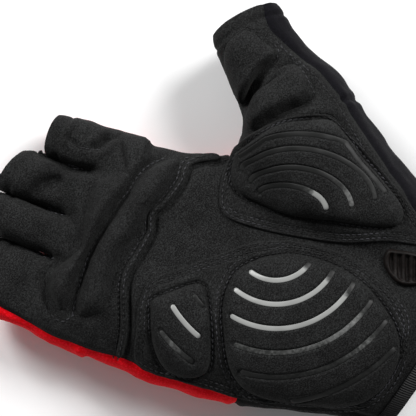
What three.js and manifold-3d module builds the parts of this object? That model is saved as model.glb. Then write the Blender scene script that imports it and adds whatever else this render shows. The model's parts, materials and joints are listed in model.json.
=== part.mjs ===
// A right-hand fingerless cycling glove, lying on its back with the palm up and keeping the form of a hand.
// Millimetres. +X points to the thumb's side, +Y to the fingers and +Z out of the palm.
// The skin is a hollow shell of suede in front and knit behind, open at the wrist and at five finger ends.
// Gel pads, foam rolls, patches, print stripes, a wrist binding and a grip tab lie on it in layers.
import * as THREE from "three";
import { mergeVertices } from "three/addons/utils/BufferGeometryUtils.js";
import Module from "manifold-3d";

const wasm = await Module();
wasm.setup();

// Driving sizes of the hand form
const PALM_WIDTH = 92;
const PALM_LENGTH = 144;
const PALM_DEPTH = 40;
const FINGER_DEPTH = 22;
const INDEX_REACH = 19;
const MIDDLE_REACH = 30;
const RING_REACH = 30;
const LITTLE_REACH = 24;
const THUMB_REACH = 92;
const THUMB_WIDTH = 30;
const THUMB_HEADING = 46.4;
const WRIST_SLANT = 14;

// Cloth, seams and layers
const SUEDE_WALL = 1.8;
const SEAM_GAP = 0.3;
const PATCH_THICKNESS = 1.0;
const HEM_WIDTH = 2.2;
const BINDING_WIDTH = 6;
const BINDING_THICKNESS = 1.6;
const GUSSET_WIDTH = 7;
const GUSSET_DEPTH = 8;

// Padding
const GEL_RISE = 4.2;
const GEL_EDGE = 7;
const ROLL_RISE = 4.6;
const THUMB_PAD_RISE = 3.6;
const THUMB_PAD_EDGE = 6;
const TAB_RISE = 1.8;
const TAB_RIB_DEPTH = 0.7;
const TAB_RIB_PITCH = 3;
const TAB_TURN = -20;

// Reflective print on the gel pads
const STRIPE_WIDTH = 2.2;
const STRIPE_THICKNESS = 0.5;
const STRIPE_GAP = 0.6;

// How finely the cloth is faceted
const BODY_SIDES = 28;
const BODY_STATIONS = 12;
const FINGER_SIDES = 12;
const FINGER_STATIONS = 4;
const THUMB_SIDES = 16;
const THUMB_STATIONS = 9;
const SECTION_POWER = 2.35;
const WAIST_SHARE = 0.42;
const THUMB_BLEND = 14;
const FINGER_BLEND = 4;

// Each limb of the hand is a row of sections along a straight line in plan. along, left and right are shares of the
// limb's reach and width, and low and high are shares of its depth.
const palmRows = [
  { along: -0.72, left: -0.34, right: 0.43, low: 0.13, high: 0.85 },
  { along: -0.59, left: -0.353, right: 0.478, low: 0.06, high: 0.93 },
  { along: -0.49, left: -0.375, right: 0.57, low: 0.0, high: 0.97 },
  { along: -0.38, left: -0.408, right: 0.63, low: -0.035, high: 0.97 },
  { along: -0.26, left: -0.455, right: 0.58, low: -0.035, high: 0.95 },
  { along: -0.14, left: -0.497, right: 0.505, low: -0.035, high: 0.9 },
  { along: 0.0, left: -0.516, right: 0.51, low: -0.035, high: 0.84 },
  { along: 0.09, left: -0.524, right: 0.48, low: -0.035, high: 0.8 },
  { along: 0.18, left: -0.516, right: 0.44, low: -0.035, high: 0.77 },
  { along: 0.28, left: -0.508, right: 0.422, low: -0.03, high: 0.73 },
  { along: 0.36, left: -0.497, right: 0.416, low: -0.01, high: 0.69 },
  { along: 0.395, left: -0.487, right: 0.41, low: 0.06, high: 0.62 },
  { along: 0.415, left: -0.47, right: 0.395, low: 0.16, high: 0.52 },
];
const thumbRows = [
  { along: -0.17, left: -0.5, right: 0.6, low: 0.12, high: 0.76 },
  { along: 0.0, left: -0.67, right: 0.9, low: -0.02, high: 0.92 },
  { along: 0.13, left: -0.73, right: 0.92, low: -0.02, high: 0.99 },
  { along: 0.26, left: -0.78, right: 0.88, low: 0.0, high: 1.02 },
  { along: 0.4, left: -0.82, right: 0.81, low: 0.05, high: 1.02 },
  { along: 0.53, left: -0.82, right: 0.775, low: 0.13, high: 0.99 },
  { along: 0.64, left: -0.66, right: 0.69, low: 0.2, high: 0.96 },
  { along: 0.76, left: -0.61, right: 0.52, low: 0.26, high: 0.93 },
  { along: 0.87, left: -0.585, right: 0.43, low: 0.3, high: 0.91 },
  { along: 1.0, left: -0.55, right: 0.42, low: 0.32, high: 0.88 },
  { along: 1.12, left: -0.53, right: 0.4, low: 0.32, high: 0.86 },
];
// A finger's sections run from inside the palm, past its root between the neighbouring fingers, to its open end.
const fingerRows = [
  { along: -0.9, width: 1.06, low: 0.16, high: 1.12 },
  { along: -0.3, width: 1.05, low: 0.16, high: 1.13 },
  { along: 0.1, width: 0.97, low: 0.17, high: 1.12 },
  { along: 0.5, width: 0.97, low: 0.19, high: 1.09 },
  { along: 1.0, width: 0.95, low: 0.22, high: 1.04 },
  { along: 1.2, width: 0.94, low: 0.22, high: 1.02 },
];
// slant says how far an open end runs on, in millimetres for each millimetre towards the thumb
const fingers = [
  { name: "index", root: 0.326, width: 0.2, reach: INDEX_REACH, heading: 91.8, slant: 0 },
  { name: "middle", root: 0.123, width: 0.204, reach: MIDDLE_REACH, heading: 90.6, slant: -0.25 },
  { name: "ring", root: -0.074, width: 0.186, reach: RING_REACH, heading: 90, slant: 0 },
  { name: "little", root: -0.331, width: 0.322, reach: LITTLE_REACH, heading: 88.2, slant: 0 },
];
const FINGER_ROOT = 0.41;
const THUMB_START = { x: 0.38, y: -0.3125 };
// How far the top of an open end stands past its middle, and how far its sides draw back, as shares of its width
const END_LEAN = 0.1;
const END_ROUND = 0.04;

// Soft dents and swellings of the palm side, as shares of the palm's width and length, with the rise in shares of
// its depth: a hollow under the fingers, the channel between the two mounds, and the folds over the fingers.
const folds = [
  { name: "palm_hollow", x: 0.1, y: 0.06, along: 0.17, across: 0.22, turn: 0, rise: -0.13 },
  { name: "heel_channel", x: 0.29, y: -0.33, along: 0.26, across: 0.08, turn: -5, rise: -0.08 },
  { name: "heel_mound", x: -0.1, y: -0.3, along: 0.2, across: 0.26, turn: 0, rise: 0.04 },
  { name: "index_fold", x: 0.37, y: 0.385, along: 0.03, across: 0.1, turn: 35, rise: -0.07 },
  { name: "middle_fold", x: 0.1, y: 0.47, along: 0.045, across: 0.09, turn: -20, rise: -0.1 },
  { name: "ring_fold", x: -0.09, y: 0.45, along: 0.04, across: 0.07, turn: 10, rise: -0.06 },
  { name: "little_fold", x: -0.3, y: 0.45, along: 0.05, across: 0.1, turn: 0, rise: -0.07 },
  { name: "thumb_fold", x: 0.78, y: 0.06, along: 0.02, across: 0.16, turn: -33, rise: -0.09 },
];

// Plan outlines, as shares of the palm's width in x and of its length in y
const knuckleSeam = [
  [-0.47, 0.158], [-0.342, 0.171], [-0.145, 0.214], [-0.037, 0.205], [0.076, 0.194], [0.146, 0.205],
  [0.212, 0.183], [0.317, 0.162], [0.4, 0.158],
];
const knuckleSeamEnd = [0.462, 0.09];
const palmSeam = [
  [-0.5, 0.62], [-0.43, 0.56], [-0.48, 0.375], [-0.483, 0.27], [-0.475, 0.14], [-0.492, 0.08], [-0.483, 0.004],
  [-0.468, -0.078], [-0.462, -0.172], [-0.43, -0.26], [-0.38, -0.39], [-0.33, -0.54], [-0.3, -0.72],
  [0.36, -0.72], [0.44, -0.56], [0.536, -0.447], [0.618, -0.383], [0.7, -0.307], [0.801, -0.218], [0.875, -0.152],
  [0.949, -0.078], [0.979, -0.014], [1.018, 0.049], [1.07, 0.101], [1.3, 0.2], [1.2, 0.4], [0.6, 0.3], [0.6, 0.7],
  [-0.3, 0.8],
];
const fingerSeam = [[-0.7, 0.157], ...knuckleSeam, knuckleSeamEnd, [0.52, 0.12], [0.55, 0.6], [0.4, 0.8], [-0.7, 0.8]];
const thumbSeam = [
  [0.62, 0.11], [0.6, 0.045], [0.66, -0.01], [0.735, -0.07], [0.79, -0.14], [0.74, -0.205], [0.676, -0.26],
  [0.607, -0.335], [0.53, -0.41], [0.47, -0.5], [0.45, -0.6], [0.8, -0.6], [1.4, 0.0], [1.3, 0.4], [0.7, 0.3],
];
const navySeam = [
  [0.3, -0.75], [0.3, -0.5], [0.36, -0.32], [0.45, -0.12], [0.53, 0.02], [0.575, 0.09], [0.7, 0.3], [1.3, 0.4],
  [1.4, 0.0], [0.9, -0.75],
];
const cuffSeam = [
  [-0.8, -0.172], [-0.462, -0.172], [-0.25, -0.15], [0.0, -0.142], [0.25, -0.15], [0.6, -0.18], [0.9, -0.2],
  [0.9, -0.9], [-0.8, -0.9],
];
const thenarPatchOutline = [
  [0.46, 0.072], [0.38, 0.071], [0.29, 0.056], [0.243, 0.019], [0.243, -0.058], [0.262, -0.153], [0.306, -0.284],
  [0.378, -0.4], [0.412, -0.49], [0.45, -0.505], [0.55, -0.425], [0.665, -0.3], [0.735, -0.215], [0.782, -0.143],
  [0.76, -0.085], [0.7, -0.02], [0.61, 0.036], [0.54, 0.062],
];
const heelPatchOutline = [
  [-0.452, 0.125], [-0.33, 0.148], [-0.228, 0.166], [-0.113, 0.159], [-0.038, 0.105], [0.087, 0.008],
  [0.185, -0.069], [0.247, -0.17], [0.268, -0.29], [0.235, -0.4], [0.19, -0.467], [0.11, -0.53], [-0.03, -0.55],
  [-0.16, -0.543], [-0.29, -0.505], [-0.37, -0.38], [-0.425, -0.25], [-0.455, -0.16], [-0.46, -0.06],
  [-0.475, 0.02], [-0.478, 0.07],
];
const thenarGel = {
  centre: [0.56, -0.17],
  outline: [
    [0.465, 0.054], [0.525, 0.046], [0.592, 0.02], [0.68, -0.026], [0.74, -0.098], [0.765, -0.148], [0.73, -0.2],
    [0.67, -0.257], [0.608, -0.328], [0.545, -0.39], [0.5, -0.412], [0.452, -0.403], [0.417, -0.344],
    [0.384, -0.238], [0.345, -0.133], [0.345, -0.054], [0.357, 0.008], [0.4, 0.043],
  ],
};
const heelGel = {
  centre: [-0.1, -0.3],
  outline: [
    [-0.105, -0.05], [-0.041, -0.044], [0.042, -0.052], [0.12, -0.094], [0.18, -0.158], [0.206, -0.237],
    [0.2, -0.32], [0.158, -0.402], [0.08, -0.477], [-0.012, -0.522], [-0.117, -0.532], [-0.23, -0.51],
    [-0.315, -0.455], [-0.375, -0.334], [-0.405, -0.234], [-0.395, -0.168], [-0.33, -0.117], [-0.184, -0.068],
  ],
};
const edgeGel = {
  centre: [-0.26, 0.03],
  outline: [
    [-0.23, 0.128], [-0.188, 0.132], [-0.142, 0.1], [-0.08, 0.053], [-0.063, 0.024], [-0.11, -0.003],
    [-0.263, -0.047], [-0.38, -0.067], [-0.435, -0.033], [-0.44, 0.035], [-0.36, 0.09],
  ],
};
const gripTab = {
  centre: [0.3, -0.475],
  outline: [
    [0.345, -0.408], [0.358, -0.43], [0.372, -0.48], [0.366, -0.535], [0.33, -0.555], [0.265, -0.53],
    [0.228, -0.475], [0.248, -0.435], [0.295, -0.408],
  ],
};
// The two foam rolls across the finger roots, from the index side to the little finger's: a section's two ends in
// plan and its share of the full rise.
const knuckleRolls = {
  upper: [
    { frontX: 0.4, frontY: 0.225, backX: 0.405, backY: 0.182, rise: 0.45 },
    { frontX: 0.35, frontY: 0.25, backX: 0.36, backY: 0.19, rise: 0.8 },
    { frontX: 0.28, frontY: 0.274, backX: 0.27, backY: 0.195, rise: 1 },
    { frontX: 0.18, frontY: 0.292, backX: 0.155, backY: 0.226, rise: 1 },
    { frontX: 0.08, frontY: 0.308, backX: 0.08, backY: 0.228, rise: 1 },
    { frontX: -0.03, frontY: 0.324, backX: -0.045, backY: 0.256, rise: 1 },
    { frontX: -0.15, frontY: 0.33, backX: -0.17, backY: 0.252, rise: 1 },
    { frontX: -0.27, frontY: 0.333, backX: -0.29, backY: 0.245, rise: 0.95 },
    { frontX: -0.355, frontY: 0.33, backX: -0.36, backY: 0.275, rise: 0.6 },
  ],
  lower: [
    { frontX: 0.27, frontY: 0.36, backX: 0.28, backY: 0.3, rise: 0.5 },
    { frontX: 0.17, frontY: 0.392, backX: 0.17, backY: 0.305, rise: 0.8 },
    { frontX: 0.05, frontY: 0.386, backX: 0.055, backY: 0.322, rise: 0.7 },
    { frontX: -0.08, frontY: 0.365, backX: -0.065, backY: 0.338, rise: 0.45 },
    { frontX: -0.18, frontY: 0.4, backX: -0.17, backY: 0.344, rise: 0.75 },
    { frontX: -0.28, frontY: 0.415, backX: -0.28, backY: 0.347, rise: 0.8 },
    { frontX: -0.36, frontY: 0.375, backX: -0.365, backY: 0.342, rise: 0.5 },
  ],
};
// Thumb pads in the thumb's own line: x runs across it in shares of its width, y along it in shares of its reach
const thumbPads = {
  tip: {
    centre: [-0.12, 0.835],
    outline: [
      [-0.5, 0.88], [-0.44, 0.945], [-0.22, 0.965], [0.0, 0.935], [0.18, 0.85], [0.2, 0.785], [-0.02, 0.735],
      [-0.3, 0.69], [-0.52, 0.655], [-0.555, 0.75],
    ],
  },
  base: {
    centre: [-0.05, 0.62],
    outline: [
      [0.19, 0.76], [0.36, 0.735], [0.5, 0.66], [0.56, 0.545], [0.4, 0.525], [0.1, 0.54], [-0.2, 0.555],
      [-0.5, 0.57], [-0.57, 0.62], [-0.3, 0.668], [-0.02, 0.712],
    ],
  },
};
// The print on the two outer pads follows rings round one centre, each with its stretch in degrees. The print on the
// thumb's pad is a nest of half ovals. Their sizes are shares of the palm's width and length.
const ringCentre = [0.225, -0.1215];
const ringFirst = { x: 0.1696, y: 0.1083 };
const ringPitch = { x: 0.0978, y: 0.0625 };
const heelStripeSpans = [
  { from: 160, to: 256 },
  { from: 160, to: 260 },
  { from: 169, to: 258 },
  { from: 178, to: 256 },
  { from: 185, to: 251 },
  { from: 196, to: 246 },
];
const edgeStripeSpans = [
  { turn: 2.5, from: 144, to: 153 },
  { turn: 3.5, from: 142, to: 162 },
  { turn: 4.5, from: 148, to: 166 },
];
const thenarOvals = [
  { x: 0.383, y: -0.129, length: 0.094, depth: 0.088, from: 16, to: 168 },
  { x: 0.412, y: -0.143, length: 0.138, depth: 0.137, from: 12, to: 170 },
  { x: 0.446, y: -0.155, length: 0.18, depth: 0.185, from: 11, to: 168 },
  { x: 0.478, y: -0.166, length: 0.214, depth: 0.218, from: 20, to: 160 },
];
const OVAL_TURN = 7;

const radians = THREE.MathUtils.degToRad;

// A limb stands on its start point and heads off in plan; its rows hold sizes in millimetres from here on
function limb(x, y, heading, rows, slant = 0) {
  const turn = radians(heading);
  return { x, y, ux: Math.cos(turn), uy: Math.sin(turn), rx: Math.sin(turn), ry: -Math.cos(turn), rows, slant };
}
const palm = limb(0, 0, 90, palmRows.map((r) => ({
  along: r.along * PALM_LENGTH,
  left: r.left * PALM_WIDTH,
  right: r.right * PALM_WIDTH,
  low: r.low * PALM_DEPTH,
  high: r.high * PALM_DEPTH,
})));
const thumb = limb(THUMB_START.x * PALM_WIDTH, THUMB_START.y * PALM_LENGTH, THUMB_HEADING, thumbRows.map((r) => ({
  along: r.along * THUMB_REACH,
  left: r.left * THUMB_WIDTH,
  right: r.right * THUMB_WIDTH,
  low: r.low * PALM_DEPTH,
  high: r.high * PALM_DEPTH,
})));
const fingerLimbs = fingers.map((f) => limb(f.root * PALM_WIDTH, FINGER_ROOT * PALM_LENGTH, f.heading,
  fingerRows.map((r) => ({
    along: r.along * f.reach,
    left: (-r.width * f.width * PALM_WIDTH) / 2,
    right: (r.width * f.width * PALM_WIDTH) / 2,
    low: r.low * FINGER_DEPTH,
    high: r.high * FINGER_DEPTH,
  })), f.slant));
const limbs = [palm, thumb, ...fingerLimbs];

// A column of a table at any place along the limb: a smooth cubic through the rows, held flat past both ends
function rowValue(rows, column, along) {
  const last = rows.length - 1;
  if (along <= rows[0].along) return rows[0][column];
  if (along >= rows[last].along) return rows[last][column];
  let i = 0;
  while (rows[i + 1].along < along) i += 1;
  const slope = (k) => {
    const a = rows[Math.max(k - 1, 0)];
    const b = rows[Math.min(k + 1, last)];
    return (b[column] - a[column]) / (b.along - a.along);
  };
  const step = rows[i + 1].along - rows[i].along;
  const t = (along - rows[i].along) / step;
  const t2 = t * t;
  const t3 = t2 * t;
  return (2 * t3 - 3 * t2 + 1) * rows[i][column] + (t3 - 2 * t2 + t) * step * slope(i) +
    (3 * t2 - 2 * t3) * rows[i + 1][column] + (t3 - t2) * step * slope(i + 1);
}

// The section of a limb at a place along it: its middle, half width, waist height and its two half depths
function sectionOf(member, along) {
  const left = rowValue(member.rows, "left", along);
  const right = rowValue(member.rows, "right", along);
  const low = rowValue(member.rows, "low", along);
  const high = rowValue(member.rows, "high", along);
  const waist = low + (high - low) * WAIST_SHARE;
  return { middle: (left + right) / 2, half: (right - left) / 2, waist, up: high - waist, down: waist - low };
}

// The sum of the soft dents at a plan point
function foldRise(x, y) {
  return folds.reduce((sum, f) => {
    const turn = radians(f.turn);
    const dx = x - f.x * PALM_WIDTH;
    const dy = y - f.y * PALM_LENGTH;
    const across = (dx * Math.cos(turn) + dy * Math.sin(turn)) / (f.across * PALM_WIDTH);
    const along = (dy * Math.cos(turn) - dx * Math.sin(turn)) / (f.along * PALM_LENGTH);
    return sum + f.rise * PALM_DEPTH * Math.exp(-across * across - along * along);
  }, 0);
}

// How far a point lies outside one limb, measured along the ray from the middle of its section
function outsideLimb(member, x, y, z) {
  const dx = x - member.x;
  const dy = y - member.y;
  const along = dx * member.ux + dy * member.uy;
  const s = sectionOf(member, along);
  const across = dx * member.rx + dy * member.ry - s.middle;
  const above = z - s.waist;
  const reach = Math.hypot(across, above) + 1e-6;
  const share = (Math.abs(across / s.half) ** SECTION_POWER +
    Math.abs(above / (above > 0 ? s.up : s.down)) ** SECTION_POWER) ** (1 / SECTION_POWER) + 1e-6;
  const beside = reach * (1 - 1 / share);
  const first = member.rows[0].along;
  const last = member.rows[member.rows.length - 1].along;
  return Math.max(beside, first - along, along - last);
}

// The limbs joined with a soft web where they meet
function blended(a, b, width) {
  const mix = Math.max(width - Math.abs(a - b), 0) / width;
  return Math.min(a, b) - (mix * mix * width) / 4;
}
function outsideHand(x, y, z) {
  const lifted = z - foldRise(x, y);
  const outside = (member) => outsideLimb(member, x, y, lifted);
  const mitt = blended(outside(palm), outside(thumb), THUMB_BLEND);
  return fingerLimbs.reduce((hand, member) => blended(hand, outside(member), FINGER_BLEND), mitt);
}

// The palm side's height over a plan point: the highest place where the hand's surface crosses that upright line
const CLIMB_STEP = 1;
const HALVINGS = 30;
function skinHeight(x, y) {
  let inside = PALM_DEPTH * WAIST_SHARE;
  let outside = PALM_DEPTH * 2;
  while (outsideHand(x, y, inside) > 0 && inside < PALM_DEPTH) inside += CLIMB_STEP;
  for (let i = 0; i < HALVINGS; i += 1) {
    const middle = (inside + outside) / 2;
    if (outsideHand(x, y, middle) < 0) inside = middle;
    else outside = middle;
  }
  return inside;
}

// A point on the palm side with its outward direction, from the slope of the skin around it
const SLOPE_STEP = 0.8;
function skinPoint(x, y) {
  const height = skinHeight(x, y);
  const slope = (dx, dy) => outsideHand(x + dx, y + dy, height) - outsideHand(x - dx, y - dy, height);
  const rise = outsideHand(x, y, height + SLOPE_STEP) - outsideHand(x, y, height - SLOPE_STEP);
  const out = new THREE.Vector3(slope(SLOPE_STEP, 0), slope(0, SLOPE_STEP), rise).normalize();
  return { point: new THREE.Vector3(x, y, height), out };
}
// Layers stand up from the skin, leaning out less than its slope does, so that each keeps its outline from above
const OUTWARD_LEAN = 0.35;
function raised(x, y, offset) {
  const { point, out } = skinPoint(x, y);
  const way = new THREE.Vector3(out.x * OUTWARD_LEAN, out.y * OUTWARD_LEAN, out.z).normalize();
  return point.addScaledVector(way, offset / way.dot(out));
}

// A closed body from rings of points: neighbouring rings are joined, and the first and last are closed to a point
function ringBody(rings) {
  const sides = rings[0].length;
  const centre = (ring) => ring.reduce((sum, p) => sum.add(p), new THREE.Vector3()).divideScalar(sides);
  const points = [...rings.flat(), centre(rings[0]), centre(rings[rings.length - 1])];
  const startCap = points.length - 2;
  const endCap = points.length - 1;
  const faces = [];
  for (let j = 0; j < sides; j += 1) {
    const k = (j + 1) % sides;
    faces.push(startCap, k, j);
    for (let i = 0; i + 1 < rings.length; i += 1) {
      const a = i * sides;
      const b = a + sides;
      faces.push(a + j, a + k, b + k, a + j, b + k, b + j);
    }
    const last = (rings.length - 1) * sides;
    faces.push(last + j, last + k, endCap);
  }
  return surface(points, faces);
}

// A closed body between two sheets of the same grid, joined round their edge
function sheetBody(top, bottom) {
  const rows = top.length;
  const columns = top[0].length;
  const points = [...top.flat(), ...bottom.flat()];
  const under = rows * columns;
  const faces = [];
  const quad = (a, b, c, d) => faces.push(a, b, c, a, c, d);
  for (let i = 0; i + 1 < rows; i += 1) {
    for (let j = 0; j + 1 < columns; j += 1) {
      const a = i * columns + j;
      const b = a + columns;
      quad(a, a + 1, b + 1, b);
      quad(under + a, under + b, under + b + 1, under + a + 1);
    }
  }
  const edge = (a, b) => quad(a, under + a, under + b, b);
  for (let j = 0; j + 1 < columns; j += 1) {
    edge(j, j + 1);
    edge((rows - 1) * columns + j + 1, (rows - 1) * columns + j);
  }
  for (let i = 0; i + 1 < rows; i += 1) {
    edge((i + 1) * columns, i * columns);
    edge(i * columns + columns - 1, (i + 1) * columns + columns - 1);
  }
  return surface(points, faces);
}

// A closed surface as a solid, turned right side out
function surface(points, faces) {
  const positions = new Float32Array(points.length * 3);
  points.forEach((p, i) => p.toArray(positions, i * 3));
  const geometry = new THREE.BufferGeometry();
  geometry.setAttribute("position", new THREE.BufferAttribute(positions, 3));
  geometry.setIndex(faces);
  const whole = mergeVertices(geometry, 1e-4);
  const make = (triVerts) => new wasm.Manifold(new wasm.Mesh({
    numProp: 3,
    vertProperties: whole.attributes.position.array,
    triVerts,
  }));
  const triangles = new Uint32Array(whole.index.array);
  const made = make(triangles);
  if (made.volume() > 0) return made;
  for (let i = 0; i < triangles.length; i += 3) {
    [triangles[i + 1], triangles[i + 2]] = [triangles[i + 2], triangles[i + 1]];
  }
  return make(triangles);
}

// One limb as a solid, drawn in by a wall's thickness for the hollow inside. open is how far it runs past its ends.
function limbSolid(member, sides, stations, inset, start, end, lean) {
  const width = member.rows[member.rows.length - 1].right * 2;
  const rings = stations.map((share, i) => {
    const along = start + (end - start) * share;
    const s = sectionOf(member, along);
    const isEnd = i === stations.length - 1;
    return Array.from({ length: sides }, (_, k) => {
      const angle = (2 * Math.PI * k) / sides;
      const side = Math.sign(Math.cos(angle)) * Math.abs(Math.cos(angle)) ** (2 / SECTION_POWER);
      const lift = Math.sign(Math.sin(angle)) * Math.abs(Math.sin(angle)) ** (2 / SECTION_POWER);
      const across = s.middle + (s.half - inset) * side;
      const curl = width * (END_LEAN * Math.sin(angle) - END_ROUND * Math.cos(angle) ** 2);
      const out = isEnd ? lean * (curl + member.slant * across) : 0;
      const x = member.x + (along + out) * member.ux + across * member.rx;
      const y = member.y + (along + out) * member.uy + across * member.ry;
      const height = s.waist + ((lift > 0 ? s.up : s.down) - inset) * lift;
      const folded = height + foldRise(x, y) * Math.max(Math.sin(angle), 0);
      return new THREE.Vector3(x, y, Math.max(folded, inset));
    });
  });
  return ringBody(rings);
}

function evenly(count) {
  return Array.from({ length: count + 1 }, (_, i) => i / count);
}

// The whole hand as one solid, drawn in by inset. A hollow one runs on past the open ends by opening.
function handSolid(inset, opening) {
  const palmStart = palm.rows[0].along - opening;
  const palmEnd = palm.rows[palm.rows.length - 1].along - inset;
  const palmBody = limbSolid(palm, BODY_SIDES, evenly(BODY_STATIONS), inset, palmStart, palmEnd, 0);
  const leanOfEnd = opening > 0 ? 0 : 1;
  const thumbBody = limbSolid(thumb, THUMB_SIDES, evenly(THUMB_STATIONS), inset, thumb.rows[0].along + inset,
    THUMB_REACH + opening, leanOfEnd);
  return fingerLimbs.reduce((hand, member, i) => hand.add(limbSolid(member, FINGER_SIDES, evenly(FINGER_STATIONS), inset,
    member.rows[0].along + inset, fingers[i].reach + opening, leanOfEnd)), palmBody.add(thumbBody));
}

// A solid that stands upright over a plan outline, between two heights
const FAR = 400;
function planPoints(shares, spread = 0) {
  const points = shares.map(([x, y]) => new THREE.Vector2(x * PALM_WIDTH, y * PALM_LENGTH));
  if (!spread) return points;
  const turn = Math.sign(THREE.ShapeUtils.area(points));
  return points.map((p, i) => {
    const before = points[(i + points.length - 1) % points.length];
    const after = points[(i + 1) % points.length];
    const way = after.clone().sub(before).normalize();
    return new THREE.Vector2(p.x + way.y * spread * turn, p.y - way.x * spread * turn);
  });
}
function upright(points, low = -FAR, high = FAR) {
  const body = new THREE.ExtrudeGeometry(new THREE.Shape(points), { depth: high - low, bevelEnabled: false });
  body.translate(0, 0, low);
  return solidOf(body);
}
function solidOf(geometry) {
  const bare = geometry.index ? geometry.toNonIndexed() : geometry;
  bare.deleteAttribute("normal");
  bare.deleteAttribute("uv");
  const whole = mergeVertices(bare, 1e-4);
  return new wasm.Manifold(new wasm.Mesh({
    numProp: 3,
    vertProperties: whole.attributes.position.array,
    triVerts: new Uint32Array(whole.index.array),
  }));
}

// Everything above the side seam, which follows the waist of the nearest limbs
const SEAM_CELLS = 9;
const SEAM_BLEND = 5;
function waistHeight(x, y) {
  let sum = 0;
  let weight = 0;
  limbs.forEach((member) => {
    const along = (x - member.x) * member.ux + (y - member.y) * member.uy;
    const s = sectionOf(member, along);
    const near = Math.exp(-Math.max(outsideLimb(member, x, y, s.waist), -SEAM_BLEND) / SEAM_BLEND) + 1e-9;
    sum += near * s.waist;
    weight += near;
  });
  return sum / weight;
}
function aboveSeam(offset) {
  const low = { x: -PALM_WIDTH, y: -PALM_LENGTH };
  const span = { x: 3 * PALM_WIDTH, y: 2 * PALM_LENGTH };
  const grid = (height) => evenly(SEAM_CELLS).map((i) => evenly(SEAM_CELLS).map((j) => {
    const x = low.x + span.x * i;
    const y = low.y + span.y * j;
    return new THREE.Vector3(x, y, height(x, y));
  }));
  return sheetBody(grid(() => FAR), grid((x, y) => waistHeight(x, y) + offset));
}

// The wrist is cut square to its own slanted line
const wristTurn = radians(-WRIST_SLANT);
const wristY = palmRows[1].along * PALM_LENGTH;
const wristLine = { x: Math.cos(wristTurn), y: Math.sin(wristTurn) };
const towardFingers = { x: -wristLine.y, y: wristLine.x };
function beyondWrist(offset) {
  const corner = (across, along) => new THREE.Vector2(
    wristLine.x * across + towardFingers.x * along,
    wristY + wristLine.y * across + towardFingers.y * along,
  );
  return upright([corner(-FAR, offset - FAR), corner(FAR, offset - FAR), corner(FAR, offset), corner(-FAR, offset)]);
}

const PAST_ENDS = 12;
function largest(solid) {
  return solid.decompose().reduce((a, b) => (a.volume() > b.volume() ? a : b));
}
// The hand grown by a clearance, which cuts the underside of whatever lies on it
const grownHands = new Map();
function grownHand(clearance) {
  if (!grownHands.has(clearance)) grownHands.set(clearance, handSolid(-clearance, 0));
  return grownHands.get(clearance);
}
const shell = handSolid(0, 0).subtract(handSolid(SUEDE_WALL, PAST_ENDS)).subtract(beyondWrist(0));

// Gussets line the walls between neighbouring fingers, round each crotch
const gussets = fingers.slice(0, -1).map((f, i) => {
  const next = fingers[i + 1];
  const crotchX = ((f.root - f.width / 2 + next.root + next.width / 2) / 2) * PALM_WIDTH;
  const crotchY = FINGER_ROOT * PALM_LENGTH;
  const lean = radians((f.heading + next.heading) / 2);
  const box = (spread) => {
    const half = GUSSET_WIDTH / 2 + spread;
    const corner = (across, along) => new THREE.Vector2(
      crotchX + Math.sin(lean) * across + Math.cos(lean) * along,
      crotchY - Math.cos(lean) * across + Math.sin(lean) * along,
    );
    const outline = [corner(-half, -half), corner(half, -half), corner(half, FAR / 4), corner(-half, FAR / 4)];
    const middle = waistHeight(crotchX, crotchY);
    return upright(outline, middle - GUSSET_DEPTH / 2 - spread, middle + GUSSET_DEPTH / 2 + spread);
  };
  return { name: `gusset_${f.name}_${next.name}`, solid: shell.intersect(box(0)), room: box(SEAM_GAP) };
});
const seamed = gussets.reduce((left, g) => left.subtract(g.room), shell);

// The palm side is what lies above the side seam and inside the seam line seen from above
const halfGap = SEAM_GAP / 2;
const front = seamed.intersect(aboveSeam(halfGap)).intersect(upright(planPoints(palmSeam, -halfGap)));
const back = seamed.subtract(aboveSeam(-halfGap).intersect(upright(planPoints(palmSeam, halfGap))));
const inPlan = (solid, outline) => solid.intersect(upright(planPoints(outline, -halfGap)));
const outOfPlan = (solid, outline) => solid.subtract(upright(planPoints(outline, halfGap)));
const fingerPanel = inPlan(front, fingerSeam);
const thumbPanel = inPlan(outOfPlan(front, fingerSeam), thumbSeam);
const palmPanel = outOfPlan(outOfPlan(front, fingerSeam), thumbSeam);
const navyPanel = inPlan(back, navySeam);
const cuffPanel = inPlan(outOfPlan(back, navySeam), cuffSeam);
const backPanel = outOfPlan(outOfPlan(back, navySeam), cuffSeam);

// A smooth closed curve through an outline's points, in millimetres
function roundOutline(shares, place, count) {
  const points = shares.map(([x, y]) => new THREE.Vector3(...place(x, y), 0));
  return new THREE.CatmullRomCurve3(points, true, "centripetal").getSpacedPoints(count).slice(0, count);
}
function distanceToRim(rim, x, y) {
  return rim.reduce((nearest, a, i) => {
    const b = rim[(i + 1) % rim.length];
    const lengthSquared = (b.x - a.x) ** 2 + (b.y - a.y) ** 2;
    const t = THREE.MathUtils.clamp(((x - a.x) * (b.x - a.x) + (y - a.y) * (b.y - a.y)) / lengthSquared, 0, 1);
    return Math.min(nearest, Math.hypot(x - a.x - (b.x - a.x) * t, y - a.y - (b.y - a.y) * t));
  }, Infinity);
}

// A pad's height over its base a given way in from its rim: a short upright edge, then a quarter round
const EDGE_STEP = 0.2;
const SINK = 2;
const RING_CROWDING = 1.3;
const UNDERSIDE_SHARE = 0.5;
function swell(rise, edge, fromRim) {
  const climb = Math.min(fromRim / edge, 1);
  return rise * (EDGE_STEP + (1 - EDGE_STEP) * Math.sqrt(1 - (1 - climb) ** 2));
}

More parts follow.
